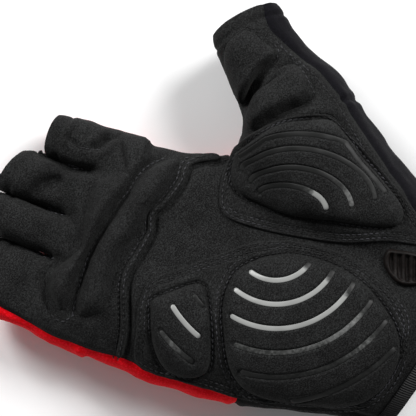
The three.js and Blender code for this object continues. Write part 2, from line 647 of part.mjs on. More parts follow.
// A pad on the skin: rings shrink from its outline to its centre, and what lies under its base is cut away
function padBody({ centre, outline, place, base, rise, edge, sides, steps, ripple = () => 0 }) {
  const rim = roundOutline(outline, place, sides);
  const [cx, cy] = place(...centre);
  const ringAt = (share, offset) => rim.map((p) => {
    const x = cx + (p.x - cx) * share;
    const y = cy + (p.y - cy) * share;
    return raised(x, y, offset(x, y));
  });
  const top = (x, y) => base + swell(rise, edge, distanceToRim(rim, x, y)) + ripple(x, y);
  const shares = evenly(steps).map((t) => 1 - t ** RING_CROWDING).slice(0, -1);
  const under = [ringAt(UNDERSIDE_SHARE, () => -SINK), ringAt(1, () => base - SINK)];
  return ringBody([...under, ...shares.map((t) => ringAt(t, top))]);
}
const padSolid = (pad) => largest(padBody(pad).subtract(grownHand(pad.base)));

// Pads are placed in shares of the palm, and thumb pads in the thumb's own line
const onPalm = (x, y) => [x * PALM_WIDTH, y * PALM_LENGTH];
const onThumb = (x, y) => {
  const across = x * THUMB_WIDTH;
  const along = y * THUMB_REACH;
  return [thumb.x + along * thumb.ux + across * thumb.rx, thumb.y + along * thumb.uy + across * thumb.ry];
};

// Layers over the skin, each a seam's gap clear of the one below
const PAD_BASE = SEAM_GAP + PATCH_THICKNESS + SEAM_GAP;
const patchSolid = (outline) => largest(grownHand(SEAM_GAP + PATCH_THICKNESS).subtract(grownHand(SEAM_GAP))
  .intersect(upright(planPoints(outline), PALM_DEPTH / 2)));
const gelPads = {
  thenar: { ...thenarGel, place: onPalm, base: PAD_BASE, rise: GEL_RISE, edge: GEL_EDGE, sides: 26, steps: 5 },
  heel: { ...heelGel, place: onPalm, base: PAD_BASE, rise: GEL_RISE, edge: GEL_EDGE, sides: 28, steps: 6 },
  edge: { ...edgeGel, place: onPalm, base: PAD_BASE, rise: GEL_RISE, edge: GEL_EDGE, sides: 18, steps: 4 },
};

// A print stripe on a gel pad, a ribbon over the pad's own swell
const STRIPE_TIP = 0.5;
function stripeSolid(pad, route) {
  const rim = roundOutline(pad.outline, pad.place, pad.sides);
  const count = route.length - 1;
  const lay = (offset) => route.map((p, i) => {
    const before = route[Math.max(i - 1, 0)];
    const after = route[Math.min(i + 1, count)];
    const way = after.clone().sub(before).normalize();
    const half = (STRIPE_WIDTH / 2) * Math.min(1, STRIPE_TIP + Math.min(i, count - i));
    return [-half, half].map((across) => {
      const x = p.x - way.y * across;
      const y = p.y + way.x * across;
      return raised(x, y, pad.base + swell(pad.rise, pad.edge, distanceToRim(rim, x, y)) + offset);
    });
  });
  const clear = padBody({ ...pad, base: pad.base + SEAM_GAP });
  return largest(sheetBody(lay(STRIPE_GAP + STRIPE_THICKNESS), lay(STRIPE_GAP)).subtract(clear));
}

// A stripe's route along a curve given by angle, in steps of about the same length
const STRIPE_STEP = 5.5;
const ROUGH_STEPS = 24;
function routeAlong(pointAt, { from, to }) {
  const trace = (count) => evenly(count).map((t) => pointAt(radians(from + (to - from) * t)));
  const rough = trace(ROUGH_STEPS);
  const length = rough.slice(1).reduce((sum, p, i) => sum + p.distanceTo(rough[i]), 0);
  return trace(Math.max(Math.ceil(length / STRIPE_STEP), 2));
}

// A foam roll across the finger roots, with a D-shaped section between its front and back edges
const ROLL_STATIONS = 14;
const ROLL_STEPS = 5;
const ROLL_TIP = 0.35;
const ROLL_TAPER = 2.5;
const ROLL_ROUNDNESS = 0.9;
function rollSolid(sections) {
  const curve = (column, other) => new THREE.CatmullRomCurve3(
    sections.map((s) => new THREE.Vector3(s[column] * PALM_WIDTH, s[other] * PALM_LENGTH, s.rise)),
  );
  const front = curve("frontX", "frontY").getPoints(ROLL_STATIONS);
  const back = curve("backX", "backY").getPoints(ROLL_STATIONS);
  const lay = (offset) => front.map((a, i) => {
    const b = back[i];
    const taper = Math.sqrt(Math.min(1, (Math.min(i, ROLL_STATIONS - i) + ROLL_TIP) / ROLL_TAPER));
    return evenly(ROLL_STEPS).map((t) => {
      const across = 0.5 - Math.cos(Math.PI * t) / 2;
      const x = a.x + (b.x - a.x) * across;
      const y = a.y + (b.y - a.y) * across;
      const dome = EDGE_STEP + (1 - EDGE_STEP) * Math.sin(Math.PI * t) ** ROLL_ROUNDNESS;
      return raised(x, y, offset < 0 ? offset : SEAM_GAP + offset * a.z * dome * taper);
    });
  });
  return largest(sheetBody(lay(ROLL_RISE), lay(-SINK)).subtract(grownHand(SEAM_GAP)));
}

// The hem along the edge of the finger suede, a ribbon beside its seam
const HEM_SETBACK = 0.2;
const HEM_STATIONS = 14;
function hemSolid() {
  const edge = knuckleSeam.map(([x, y]) => new THREE.Vector3(...onPalm(x, y), 0));
  const route = new THREE.CatmullRomCurve3(edge).getSpacedPoints(HEM_STATIONS);
  const lay = (offset) => route.map((p, i) => {
    const way = route[Math.min(i + 1, HEM_STATIONS)].clone().sub(route[Math.max(i - 1, 0)]).normalize();
    return [HEM_SETBACK, HEM_SETBACK + HEM_WIDTH / 2, HEM_SETBACK + HEM_WIDTH].map((across) =>
      raised(p.x - way.y * across, p.y + way.x * across, SEAM_GAP + offset));
  });
  return largest(sheetBody(lay(PATCH_THICKNESS), lay(-SINK)).subtract(grownHand(SEAM_GAP)));
}

// The elastic round the wrist stands out from the skin and runs past its edge
const wristSleeve = handSolid(-SEAM_GAP - BINDING_THICKNESS, 0).subtract(handSolid(-SEAM_GAP, PAST_ENDS));
const wristBinding = wristSleeve.intersect(beyondWrist(-SEAM_GAP)).subtract(beyondWrist(-BINDING_WIDTH));

// Ribs across the grip tab
const tabTurn = radians(TAB_TURN);
const tabRibs = (x, y) => {
  const along = x * Math.sin(tabTurn) + y * Math.cos(tabTurn);
  return (TAB_RIB_DEPTH / 2) * (Math.cos((2 * Math.PI * along) / TAB_RIB_PITCH) - 1);
};

const ringRoute = (turn, span) => routeAlong((angle) => {
  const [x, y] = [ringFirst.x + ringPitch.x * turn, ringFirst.y + ringPitch.y * turn];
  return new THREE.Vector2(...onPalm(ringCentre[0] + x * Math.cos(angle), ringCentre[1] + y * Math.sin(angle)));
}, span);
const ovalRoute = (oval) => routeAlong((angle) => {
  const tilt = radians(OVAL_TURN);
  const along = oval.length * PALM_LENGTH * Math.cos(angle);
  const across = oval.depth * PALM_WIDTH * Math.sin(angle);
  return new THREE.Vector2(
    oval.x * PALM_WIDTH - along * Math.sin(tilt) + across * Math.cos(tilt),
    oval.y * PALM_LENGTH + along * Math.cos(tilt) + across * Math.sin(tilt),
  );
}, oval);
const stripes = [
  ...heelStripeSpans.map((span, i) => [`heel_stripe_${i + 1}`, gelPads.heel, ringRoute(i, span)]),
  ...edgeStripeSpans.map((span, i) => [`edge_stripe_${i + 1}`, gelPads.edge, ringRoute(span.turn, span)]),
  ...thenarOvals.map((oval, i) => [`thenar_stripe_${i + 1}`, gelPads.thenar, ovalRoute(oval)]),
];

const looks = {
  suede: { color: "#2b2b2d", roughness: 0.92, metalness: 0 },
  knit: { color: "#d8141f", roughness: 0.85, metalness: 0 },
  stretch: { color: "#1c1a24", roughness: 0.6, metalness: 0 },
  print: { color: "#c9cacb", roughness: 0.3, metalness: 0.2 },
  elastic: { color: "#161616", roughness: 0.8, metalness: 0 },
  rubber: { color: "#2c2421", roughness: 0.55, metalness: 0 },
  mesh: { color: "#3a3a3c", roughness: 0.85, metalness: 0 },
};

function meshOf(name, look, solid) {
  const { numProp, vertProperties, triVerts } = solid.getMesh();
  const geometry = new THREE.BufferGeometry();
  geometry.setAttribute("position", new THREE.BufferAttribute(vertProperties, numProp));
  geometry.setIndex(new THREE.BufferAttribute(triVerts, 1));
  const mesh = new THREE.Mesh(geometry.toNonIndexed(), new THREE.MeshStandardMaterial(looks[look]));
  mesh.geometry.computeVertexNormals();
  mesh.name = name;
  return mesh;
}

const hand = new THREE.Group();
hand.add(
  meshOf("palm_panel", "suede", largest(palmPanel)),
  meshOf("finger_panel", "suede", largest(fingerPanel)),
  meshOf("thumb_panel", "suede", largest(thumbPanel)),
  meshOf("back_panel", "knit", largest(backPanel)),
  meshOf("cuff_panel", "suede", largest(cuffPanel)),
  meshOf("side_panel", "stretch", largest(navyPanel)),
  ...gussets.map((g) => meshOf(g.name, "mesh", largest(g.solid))),
  meshOf("thenar_patch", "suede", patchSolid(thenarPatchOutline)),
  meshOf("heel_patch", "suede", patchSolid(heelPatchOutline)),
  meshOf("thenar_gel_pad", "suede", padSolid(gelPads.thenar)),
  meshOf("heel_gel_pad", "suede", padSolid(gelPads.heel)),
  meshOf("edge_gel_pad", "suede", padSolid(gelPads.edge)),
  ...stripes.map(([name, pad, route]) => meshOf(name, "print", stripeSolid(pad, route))),
  meshOf("upper_knuckle_roll", "suede", rollSolid(knuckleRolls.upper)),
  meshOf("lower_knuckle_roll", "suede", rollSolid(knuckleRolls.lower)),
  meshOf("knuckle_hem", "suede", hemSolid()),
  ...Object.entries(thumbPads).map(([name, pad]) => meshOf(`thumb_${name}_pad`, "suede", padSolid({
    ...pad, place: onThumb, base: SEAM_GAP, rise: THUMB_PAD_RISE, edge: THUMB_PAD_EDGE, sides: 18, steps: 4,
  }))),
  meshOf("grip_tab", "rubber", padSolid({
    ...gripTab, place: onPalm, base: SEAM_GAP, rise: TAB_RISE, edge: TAB_RISE, sides: 16, steps: 5, ripple: tabRibs,
  })),
  meshOf("wrist_binding", "elastic", largest(wristBinding)),
);

// The glove's own frame has its origin under the middle of its box, on the surface that it lies on
const box = new THREE.Box3().setFromObject(hand);
const middle = box.getCenter(new THREE.Vector3());
hand.position.set(-middle.x, -middle.y, -box.min.z);
const glove = new THREE.Group();
glove.add(hand);

export default glove;
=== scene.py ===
# %% [markdown]
# A fingerless cycling glove, seen from straight above as it lies on its back with the palm up. The CAD
# model holds its pieces at their real size. Here each one gets the surface that the eye expects: napped
# suede, red knit, smooth elastane, gel pads with glossy print, foam rolls, ribbed elastic and rows of
# stitches.

# %% Load the model
import json
import math
import bmesh
import bpy
import numpy as np
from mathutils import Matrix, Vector


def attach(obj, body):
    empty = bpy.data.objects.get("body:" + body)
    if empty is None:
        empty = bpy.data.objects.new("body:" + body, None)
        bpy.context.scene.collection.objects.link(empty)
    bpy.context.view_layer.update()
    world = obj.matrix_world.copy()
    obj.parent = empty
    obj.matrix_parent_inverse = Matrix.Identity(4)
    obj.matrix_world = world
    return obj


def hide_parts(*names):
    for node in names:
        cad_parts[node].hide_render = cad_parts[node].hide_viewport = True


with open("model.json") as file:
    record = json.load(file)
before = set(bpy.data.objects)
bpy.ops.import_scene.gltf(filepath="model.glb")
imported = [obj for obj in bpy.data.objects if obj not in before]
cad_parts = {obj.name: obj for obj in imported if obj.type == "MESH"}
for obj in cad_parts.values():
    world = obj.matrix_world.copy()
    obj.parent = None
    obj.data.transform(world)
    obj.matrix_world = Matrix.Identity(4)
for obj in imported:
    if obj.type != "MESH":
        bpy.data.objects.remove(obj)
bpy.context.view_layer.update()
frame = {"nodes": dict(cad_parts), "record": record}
print("the model holds", len(frame["nodes"]), "nodes")

# %% [markdown]
# The shapes are drawn in millimetres in a frame of their own, whose zero point is the glove's rest face.
# The sizes below are the ones that the model was built from, so what is drawn here lands on the model's own
# pieces. The looks differ from the model in a few values: the fingers are 6 percent wider, so that
# neighbours touch, the mesh between them is larger, the seam to the red knit runs lower, the cloth is
# thinner, the pads' edges are softer, and the tab's ribs are deeper.

# %% Sizes in millimetres
MM = 0.001
PALM_WIDTH = 92
PALM_LENGTH = 144
PALM_DEPTH = 40
FINGER_DEPTH = 22
THUMB_REACH = 92
THUMB_WIDTH = 30
THUMB_HEADING = 46.4
THUMB_START = (0.38, -0.3125)
FINGER_ROOT = 0.41
WRIST_SLANT = 14
WRIST_PLACE = -0.59
BINDING_WIDTH = 6.0
SEAM_GAP = 0.3
PATCH_THICKNESS = 1.0
GEL_RISE = 4.2
SECTION_POWER = 2.35
WAIST_SHARE = 0.42
THUMB_BLEND = 14
FINGER_BLEND = 4
END_LEAN = 0.1
END_ROUND = 0.04
# Over how many mm past the crotch the fingers part, and how many times as wide as the model's they are
PARTING = 7
FINGER_GIRTH = 1.06

drawing_origin = np.array(frame["record"]["mounts"][0]["pos_m"])
rng = np.random.default_rng(7)


def placed(points):
    """Points in the drawing's millimetres, moved into the model's frame in metres."""
    return np.asarray(points, float) * MM + drawing_origin


# %% [markdown]
# The hand form is six limbs: the palm, the thumb and four fingers. Each is a row of oval sections along a
# straight line in plan. A table row holds a section's place along its limb, its left and right edges and
# its lowest and highest points, all as shares of the named sizes.

# %% Limb tables
palm_rows = np.array([
    # along   left    right   low     high
    (-0.72, -0.34, 0.43, 0.13, 0.85),
    (-0.59, -0.353, 0.478, 0.06, 0.93),
    (-0.49, -0.375, 0.57, 0.0, 0.97),
    (-0.38, -0.408, 0.63, -0.035, 0.97),
    (-0.26, -0.455, 0.58, -0.035, 0.95),
    (-0.14, -0.497, 0.505, -0.035, 0.9),
    (0.0, -0.516, 0.51, -0.035, 0.84),
    (0.09, -0.524, 0.48, -0.035, 0.8),
    (0.18, -0.516, 0.44, -0.035, 0.77),
    (0.28, -0.508, 0.422, -0.03, 0.73),
    (0.36, -0.497, 0.416, -0.01, 0.69),
    (0.395, -0.487, 0.41, 0.06, 0.62),
    (0.415, -0.47, 0.395, 0.16, 0.52),
]) * (PALM_LENGTH, PALM_WIDTH, PALM_WIDTH, PALM_DEPTH, PALM_DEPTH)
thumb_rows = np.array([
    (-0.17, -0.5, 0.6, 0.12, 0.76),
    (0.0, -0.67, 0.9, -0.02, 0.92),
    (0.13, -0.73, 0.92, -0.02, 0.99),
    (0.26, -0.78, 0.88, 0.0, 1.02),
    (0.4, -0.82, 0.81, 0.05, 1.02),
    (0.53, -0.82, 0.775, 0.13, 0.99),
    (0.64, -0.66, 0.69, 0.2, 0.96),
    (0.76, -0.61, 0.52, 0.26, 0.93),
    (0.87, -0.585, 0.43, 0.3, 0.91),
    (1.0, -0.55, 0.42, 0.32, 0.88),
    (1.12, -0.53, 0.4, 0.32, 0.86),
]) * (THUMB_REACH, THUMB_WIDTH, THUMB_WIDTH, PALM_DEPTH, PALM_DEPTH)
finger_rows = np.array([
    (-0.9, -1.06, 1.06, 0.16, 1.12),
    (-0.3, -1.05, 1.05, 0.16, 1.13),
    (0.1, -0.97, 0.97, 0.17, 1.12),
    (0.5, -0.97, 0.97, 0.19, 1.09),
    (1.0, -0.95, 0.95, 0.22, 1.04),
    (1.2, -0.94, 0.94, 0.22, 1.02),
])
fingers = {
    # name: root, width, reach in mm, heading in degrees, slant of the open end
    "index": (0.326, 0.2, 19, 91.8, 0),
    "middle": (0.123, 0.204, 30, 90.6, -0.25),
    "ring": (-0.074, 0.186, 30, 90.0, 0),
    "little": (-0.331, 0.322, 24, 88.2, 0),
}


def limb(x, y, heading, rows, reach, slant=0):
    """A limb's start point, its direction, the direction to its right, its table, its reach and its
    end's slant."""
    turn = math.radians(heading)
    ahead = np.array((math.cos(turn), math.sin(turn)))
    return {"start": np.array((x, y)), "ahead": ahead, "right": np.array((ahead[1], -ahead[0])),
            "rows": rows, "reach": reach, "slant": slant}


palm = limb(0, 0, 90, palm_rows, 0)
thumb = limb(THUMB_START[0] * PALM_WIDTH, THUMB_START[1] * PALM_LENGTH, THUMB_HEADING, thumb_rows,
             THUMB_REACH)
finger_limbs = []
for root, width, reach, heading, slant in fingers.values():
    half = FINGER_GIRTH * width * PALM_WIDTH / 2
    rows = finger_rows * (reach, half, half, FINGER_DEPTH, FINGER_DEPTH)
    finger_limbs.append(limb(root * PALM_WIDTH, FINGER_ROOT * PALM_LENGTH, heading, rows, reach, slant))
print("limbs:", 2 + len(finger_limbs))


# %% [markdown]
# One function says how far any point in space lies outside the hand form. Everything else follows from it:
# the skin is where it is zero, a piece lies on the skin by asking for its height, and a normal is the way
# it grows fastest. The limbs are joined by a smooth minimum, which fills the web of the thumb as stretched
# cloth would.

# %% The hand as a distance
HALVINGS = 24


def section_of(member, along):
    """The middle, half width, waist height and half depths of a limb's section, by a smooth cubic
    through its rows that is held flat past both ends."""
    rows = member["rows"]
    places = rows[:, 0]
    slopes = np.empty_like(rows)
    slopes[1:-1] = (rows[2:] - rows[:-2]) / (places[2:] - places[:-2])[:, None]
    slopes[0] = (rows[1] - rows[0]) / (places[1] - places[0])
    slopes[-1] = (rows[-1] - rows[-2]) / (places[-1] - places[-2])
    i = np.clip(np.searchsorted(places, along) - 1, 0, len(places) - 2)
    step = (places[i + 1] - places[i])[..., None]
    t = np.clip((along - places[i])[..., None] / step, 0, 1)
    value = ((2 * t**3 - 3 * t**2 + 1) * rows[i] + (t**3 - 2 * t**2 + t) * step * slopes[i]
             + (3 * t**2 - 2 * t**3) * rows[i + 1] + (t**3 - t**2) * step * slopes[i + 1])
    left, right, low, high = np.moveaxis(value[..., 1:], -1, 0)
    waist = low + (high - low) * WAIST_SHARE
    return (left + right) / 2, (right - left) / 2, waist, high - waist, waist - low


def in_limb(member, x, y):
    """A plan point's places along and across a limb."""
    dx, dy = x - member["start"][0], y - member["start"][1]
    return (dx * member["ahead"][0] + dy * member["ahead"][1],
            dx * member["right"][0] + dy * member["right"][1])


def outside_limb(member, x, y, z):
    """The distance outside one limb along the ray from its section's middle, or past its ends where that
    is more."""
    along, across = in_limb(member, x, y)
    middle, half, waist, up, down = section_of(member, along)
    across = across - middle
    above = z - waist
    share = ((np.abs(across / half) ** SECTION_POWER
              + np.abs(above / np.where(above > 0, up, down)) ** SECTION_POWER) ** (1 / SECTION_POWER) + 1e-6)
    beside = (np.hypot(across, above) + 1e-6) * (1 - 1 / share)
    return np.maximum(beside, np.maximum(member["rows"][0, 0] - along, along - member["rows"][-1, 0]))


def blended(a, b, width):
    """The smaller of two distances, rounded off where they are within width of each other."""
    mix = np.clip(width - np.abs(a - b), 0, None) / width
    return np.minimum(a, b) - mix * mix * width / 4


# Soft dents of the palm side: place, size along and across, turn in degrees, and rise, all in shares
folds = {
    "palm_hollow": (0.1, 0.06, 0.17, 0.22, 0, -0.13),
    "heel_channel": (0.29, -0.33, 0.26, 0.08, -5, -0.08),
    "heel_mound": (-0.1, -0.3, 0.2, 0.26, 0, 0.04),
    "index_fold": (0.37, 0.385, 0.03, 0.1, 35, -0.07),
    "middle_fold": (0.1, 0.47, 0.045, 0.09, -20, -0.1),
    "ring_fold": (-0.09, 0.45, 0.04, 0.07, 10, -0.06),
    "little_fold": (-0.3, 0.45, 0.05, 0.1, 0, -0.07),
    "thumb_fold": (0.78, 0.06, 0.02, 0.16, -33, -0.09),
}


def fold_rise(x, y):
    """The sum of the soft dents at a plan point, each a turned bell shape."""
    total = np.zeros_like(x)
    for fx, fy, long, wide, turn, rise in folds.values():
        c, s = math.cos(math.radians(turn)), math.sin(math.radians(turn))
        dx, dy = x - fx * PALM_WIDTH, y - fy * PALM_LENGTH
        across = (dx * c + dy * s) / (wide * PALM_WIDTH)
        along = (dy * c - dx * s) / (long * PALM_LENGTH)
        total += rise * PALM_DEPTH * np.exp(-across**2 - along**2)
    return total


def outside_hand(x, y, z, own=None):
    """The distance outside the whole hand form, limbs blended. Where each point's own finger is given,
    the other fingers draw away from it past the crotch, so that neighbours touch there without growing
    together."""
    lifted = z - fold_rise(x, y)
    total = blended(outside_limb(palm, x, y, lifted), outside_limb(thumb, x, y, lifted), THUMB_BLEND)
    apart = PARTING * np.clip((y - FINGER_ROOT * PALM_LENGTH) / PARTING, 0, 1)
    for i, member in enumerate(finger_limbs):
        gap = outside_limb(member, x, y, lifted)
        if own is not None:
            gap = gap + apart * (own != i)
        total = blended(total, gap, FINGER_BLEND)
    return total


def slope_of(points, own=None, step=0.4):
    """The gradient of the distance at each point, by central differences."""
    x, y, z = points.T
    return np.stack([
        outside_hand(x + step, y, z, own) - outside_hand(x - step, y, z, own),
        outside_hand(x, y + step, z, own) - outside_hand(x, y - step, z, own),
        outside_hand(x, y, z + step, own) - outside_hand(x, y, z - step, own),
    ], axis=1) / (2 * step)


def unit(vectors):
    """Each vector divided by its own length."""
    return vectors / np.maximum(np.linalg.norm(vectors, axis=-1, keepdims=True), 1e-9)


def skin_height(x, y):
    """The palm side's height over plan points, by halving the span between inside and outside."""
    inside = np.full(x.shape, PALM_DEPTH * WAIST_SHARE)
    outside = np.full(x.shape, PALM_DEPTH * 2.0)
    for _ in range(HALVINGS):
        middle = (inside + outside) / 2
        within = outside_hand(x, y, middle) < 0
        inside = np.where(within, middle, inside)
        outside = np.where(within, outside, middle)
    return inside


print("height over the palm's middle: %.1f mm" % skin_height(np.array([0.0]), np.array([0.0]))[0])


# %% [markdown]
# Seams and outlines are drawn in plan as a few points with a smooth curve through them. A piece of cloth is
# then wherever its outline's signed distance is positive, and the same distance tells how near a seam is.

# %% Curves in plan
def curve_through(points, closed=False, spacing=1.0):
    """A smooth curve through plan points, resampled evenly: each span is a cubic whose end slopes come
    from the neighbouring points."""
    p = np.asarray(points, float)
    if closed:
        before, after, beyond = np.roll(p, 1, 0), np.roll(p, -1, 0), np.roll(p, -2, 0)
    else:
        padded = np.vstack([2 * p[0] - p[1], p, 2 * p[-1] - p[-2]])
        before, p, after, beyond = padded[:-3], padded[1:-2], padded[2:-1], padded[3:]
    t = np.linspace(0, 1, 24, endpoint=False)[None, :, None]
    a, b, c, d = (v[:, None, :] for v in (before, p, after, beyond))
    fine = 0.5 * (2 * b + (c - a) * t + (2 * a - 5 * b + 4 * c - d) * t**2 + (3 * b - a - 3 * c + d) * t**3)
    fine = fine.reshape(-1, p.shape[1])
    fine = np.vstack([fine, fine[:1] if closed else after[-1:]])
    lengths = np.concatenate([[0], np.cumsum(np.linalg.norm(np.diff(fine[:, :2], axis=0), axis=1))])
    count = max(int(round(lengths[-1] / spacing)), 2)
    places = np.linspace(0, lengths[-1], count + 1)
    if closed:
        places = places[:-1]
    return np.stack([np.interp(places, lengths, column) for column in fine.T], axis=1)


def shares(points):
    """Shares of the palm's width and length as millimetres."""
    return np.asarray(points, float) * (PALM_WIDTH, PALM_LENGTH)


def distance_to(curve, x, y, closed=False):
    """The distance from plan points to a curve of short straight pieces, and the place along it of the
    nearest."""
    a = curve
    b = np.roll(curve, -1, 0)
    if not closed:
        a, b = a[:-1], b[:-1]
    best = np.full(x.shape, np.inf)
    place = np.zeros(x.shape)
    for i, (start, end) in enumerate(zip(a, b)):
        way = end - start
        t = np.clip(((x - start[0]) * way[0] + (y - start[1]) * way[1]) / (way @ way), 0, 1)
        gap = (x - start[0] - way[0] * t) ** 2 + (y - start[1] - way[1] * t) ** 2
        nearer = gap < best
        best = np.where(nearer, gap, best)
        place = np.where(nearer, i + t, place)
    return np.sqrt(best), place


def inside_distance(curve, x, y):
    """The distance to a closed curve, positive inside it, where a ray to the right crosses it an odd
    number of times."""
    crossings = np.zeros(x.shape, int)
    for (ax, ay), (bx, by) in zip(curve, np.roll(curve, -1, 0)):
        if ay == by:
            continue
        crossings += ((ay > y) != (by > y)) & (x < ax + (y - ay) * (bx - ax) / (by - ay))
    gap, _ = distance_to(curve, x, y, closed=True)
    return np.where(crossings % 2 == 1, gap, -gap)


knuckle_seam = [
    (-0.47, 0.158), (-0.342, 0.171), (-0.145, 0.214), (-0.037, 0.205), (0.076, 0.194), (0.146, 0.205),
    (0.212, 0.183), (0.317, 0.162), (0.4, 0.158), (0.462, 0.09),
]
palm_edge = [
    (-0.5, 0.62), (-0.43, 0.56), (-0.48, 0.375), (-0.483, 0.27), (-0.475, 0.14), (-0.492, 0.08),
    (-0.483, 0.004), (-0.468, -0.078), (-0.462, -0.172), (-0.43, -0.26), (-0.38, -0.39), (-0.33, -0.54),
    (-0.3, -0.72), (0.36, -0.72), (0.44, -0.56), (0.536, -0.447), (0.618, -0.383), (0.7, -0.307),
    (0.801, -0.218), (0.875, -0.152), (0.949, -0.078), (0.979, -0.014), (1.018, 0.049), (1.07, 0.101),
    (1.3, 0.2), (1.2, 0.4), (0.6, 0.3), (0.6, 0.7), (-0.3, 0.8),
]
thumb_edge = [
    (0.62, 0.11), (0.6, 0.045), (0.66, -0.01), (0.735, -0.07), (0.79, -0.14), (0.74, -0.205),
    (0.676, -0.26), (0.607, -0.335), (0.53, -0.41), (0.47, -0.5), (0.45, -0.6), (0.8, -0.6), (1.4, 0.0),
    (1.3, 0.4), (0.7, 0.3),
]
side_edge = [
    (0.3, -0.75), (0.3, -0.5), (0.36, -0.32), (0.45, -0.12), (0.53, 0.02), (0.575, 0.09), (0.7, 0.3),
    (1.3, 0.4), (1.4, 0.0), (0.9, -0.75),
]
cuff_edge = [
    (-0.8, -0.172), (-0.462, -0.172), (-0.25, -0.15), (0.0, -0.142), (0.25, -0.15), (0.6, -0.18), (0.9, -0.2),
    (0.9, -0.9), (-0.8, -0.9),
]
finger_edge = [(-0.7, 0.157), *knuckle_seam, (0.52, 0.12), (0.55, 0.6), (0.4, 0.8), (-0.7, 0.8)]
outline = {
    name: curve_through(shares(points), closed=True, spacing=2.5)
    for name, points in [("palm", palm_edge), ("finger", finger_edge), ("thumb", thumb_edge),
                         ("side", side_edge), ("cuff", cuff_edge)]
}
print("seam outlines:", {name: len(curve) for name, curve in outline.items()})


# %% [markdown]
# The skin's own relief is added along its normals: worn creases where the fingers fold, a groove along each
# seam where the thread pulls the cloth down, a thicker hem at the open ends and the slow unevenness of soft
# suede.

# %% Relief of the skin
RIPPLE_SPREAD = 2.2
SHOULDER_RISE = 0.35
SHOULDER_PLACE = 2.4
SHOULDER_HALF = 1.3
CREASE_MARGIN = 12
CREASE_END = 0.04
CREASE_END_POWER = 0.6
CREASE_TURN_GAIN = 1.8
CREASE_TURN_START = 0.3
creases = {
    # name: points, depth and half width, all in mm
    "knuckle_fold": ([(46, 23.5), (40.4, 29.8), (35, 35.3), (30.5, 39), (25, 41.3), (18.4, 42.8),
                      (10, 45.8), (-1, 47.6), (-9.5, 48.6), (-18.7, 48.1), (-26.6, 47.3), (-33, 46.6)],
                     2.0, 1.5),
    "index_root": ([(38.4, 53.9), (34.7, 57.7), (31, 59.7), (29.5, 63)], 2.6, 1.3),
    "index_side": ([(38.2, 53.7), (32.8, 50.5), (27.5, 47.3), (22.6, 46)], 1.2, 1.0),
    "index_tip": ([(36.8, 69.8), (30.5, 71), (28.4, 66)], 1.2, 1.0),
    "index_middle": ([(19.9, 78), (20.2, 72.9), (19.1, 68), (20.2, 62.7), (22.6, 53.7)], 1.6, 1.5),
    "middle_root": ([(20, 57.9), (14.2, 57), (8.6, 55.4), (2.5, 54.9)], 1.2, 1.7),
    "middle_tip": ([(17.8, 67), (13.3, 70.2), (9.8, 74.4), (4, 78)], 2.3, 2.6),
    "ring_root": ([(1, 57), (-6, 55.5), (-14, 55)], 1.4, 2.0),
    "little_root": ([(-14, 54), (-17, 59.6), (-24.2, 61), (-31.2, 57.8), (-37.4, 51)], 1.8, 1.6),
    "palm_cross": ([(30, 18), (22, 12), (14, 13), (4, 17)], 0.4, 3.0),
    "thumb_tip": ([(63.5, 11.8), (71.8, 11), (79.6, 9.7), (86, 6.3)], 3.4, 1.3),
    "thumb_middle": ([(54, 7.5), (63.3, 0.8), (69.5, -4.5), (74, -9.5), (79, -10)], 2.2, 1.8),
    "thumb_outer": ([(81, 2.5), (86, -2.8), (83, -7.5), (77, -11.5)], 0.7, 1.4),
    "thumb_root": ([(61.4, -2.2), (66.5, -10.6), (70.9, -21.3), (67.8, -28.6), (60.3, -40.7), (51, -55)],
                   0.9, 1.5),
}
crease_curves = [(curve_through(points), depth, half) for points, depth, half in creases.values()]

ripple_waves = [
    # length in mm, height in mm, how many waves are added
    (26, 0.45, 5),
    (11, 0.13, 7),
    (5, 0.05, 9),
]
ripples = []
for length, height, count in ripple_waves:
    ways = unit(rng.normal(size=(count, 3)))
    ripples += [(way * 2 * math.pi / length / rng.uniform(0.8, 1.25), rng.uniform(0, 2 * math.pi), height)
                for way in ways]


def cloth_ripple(points):
    """Slow unevenness: a sum of sine waves in set directions with random phases."""
    total = np.zeros(len(points))
    for way, phase, height in ripples:
        total += height * np.sin(points @ way + phase) / RIPPLE_SPREAD
    return total


def groove(gap, depth, half):
    """A rounded groove along a line, with the cloth raised a little on both sides."""
    shoulder = (gap - SHOULDER_PLACE * half) / (SHOULDER_HALF * half)
    return -depth * np.exp(-((gap / half) ** 2)) + SHOULDER_RISE * depth * np.exp(-(shoulder**2))


def crease_relief(points, out):
    """All the worn creases of the palm side, faded out where the skin turns down to its sides."""
    x, y, z = points.T
    total = np.zeros(len(points))
    for curve, depth, half in crease_curves:
        low, high = curve.min(0) - CREASE_MARGIN, curve.max(0) + CREASE_MARGIN
        near = (x > low[0]) & (x < high[0]) & (y > low[1]) & (y < high[1])
        gap, place = distance_to(curve, x[near], y[near])
        along = np.clip(place / (len(curve) - 1), CREASE_END, 1 - CREASE_END)
        total[near] += groove(gap, depth, half) * np.sin(math.pi * along) ** CREASE_END_POWER
    return total * np.clip(out[:, 2] * CREASE_TURN_GAIN - CREASE_TURN_START, 0, 1)


print("relief from %d creases and %d waves" % (len(creases), len(ripples)))


# %% [markdown]
# Pads, patches and stitches all lie on the palm side. Its height, its outward way and its relief are worked
# out once on a grid in plan, and a piece then reads them between the grid's points. A layer leans out less
# than the slope does, so that it keeps its outline when it is seen from above.

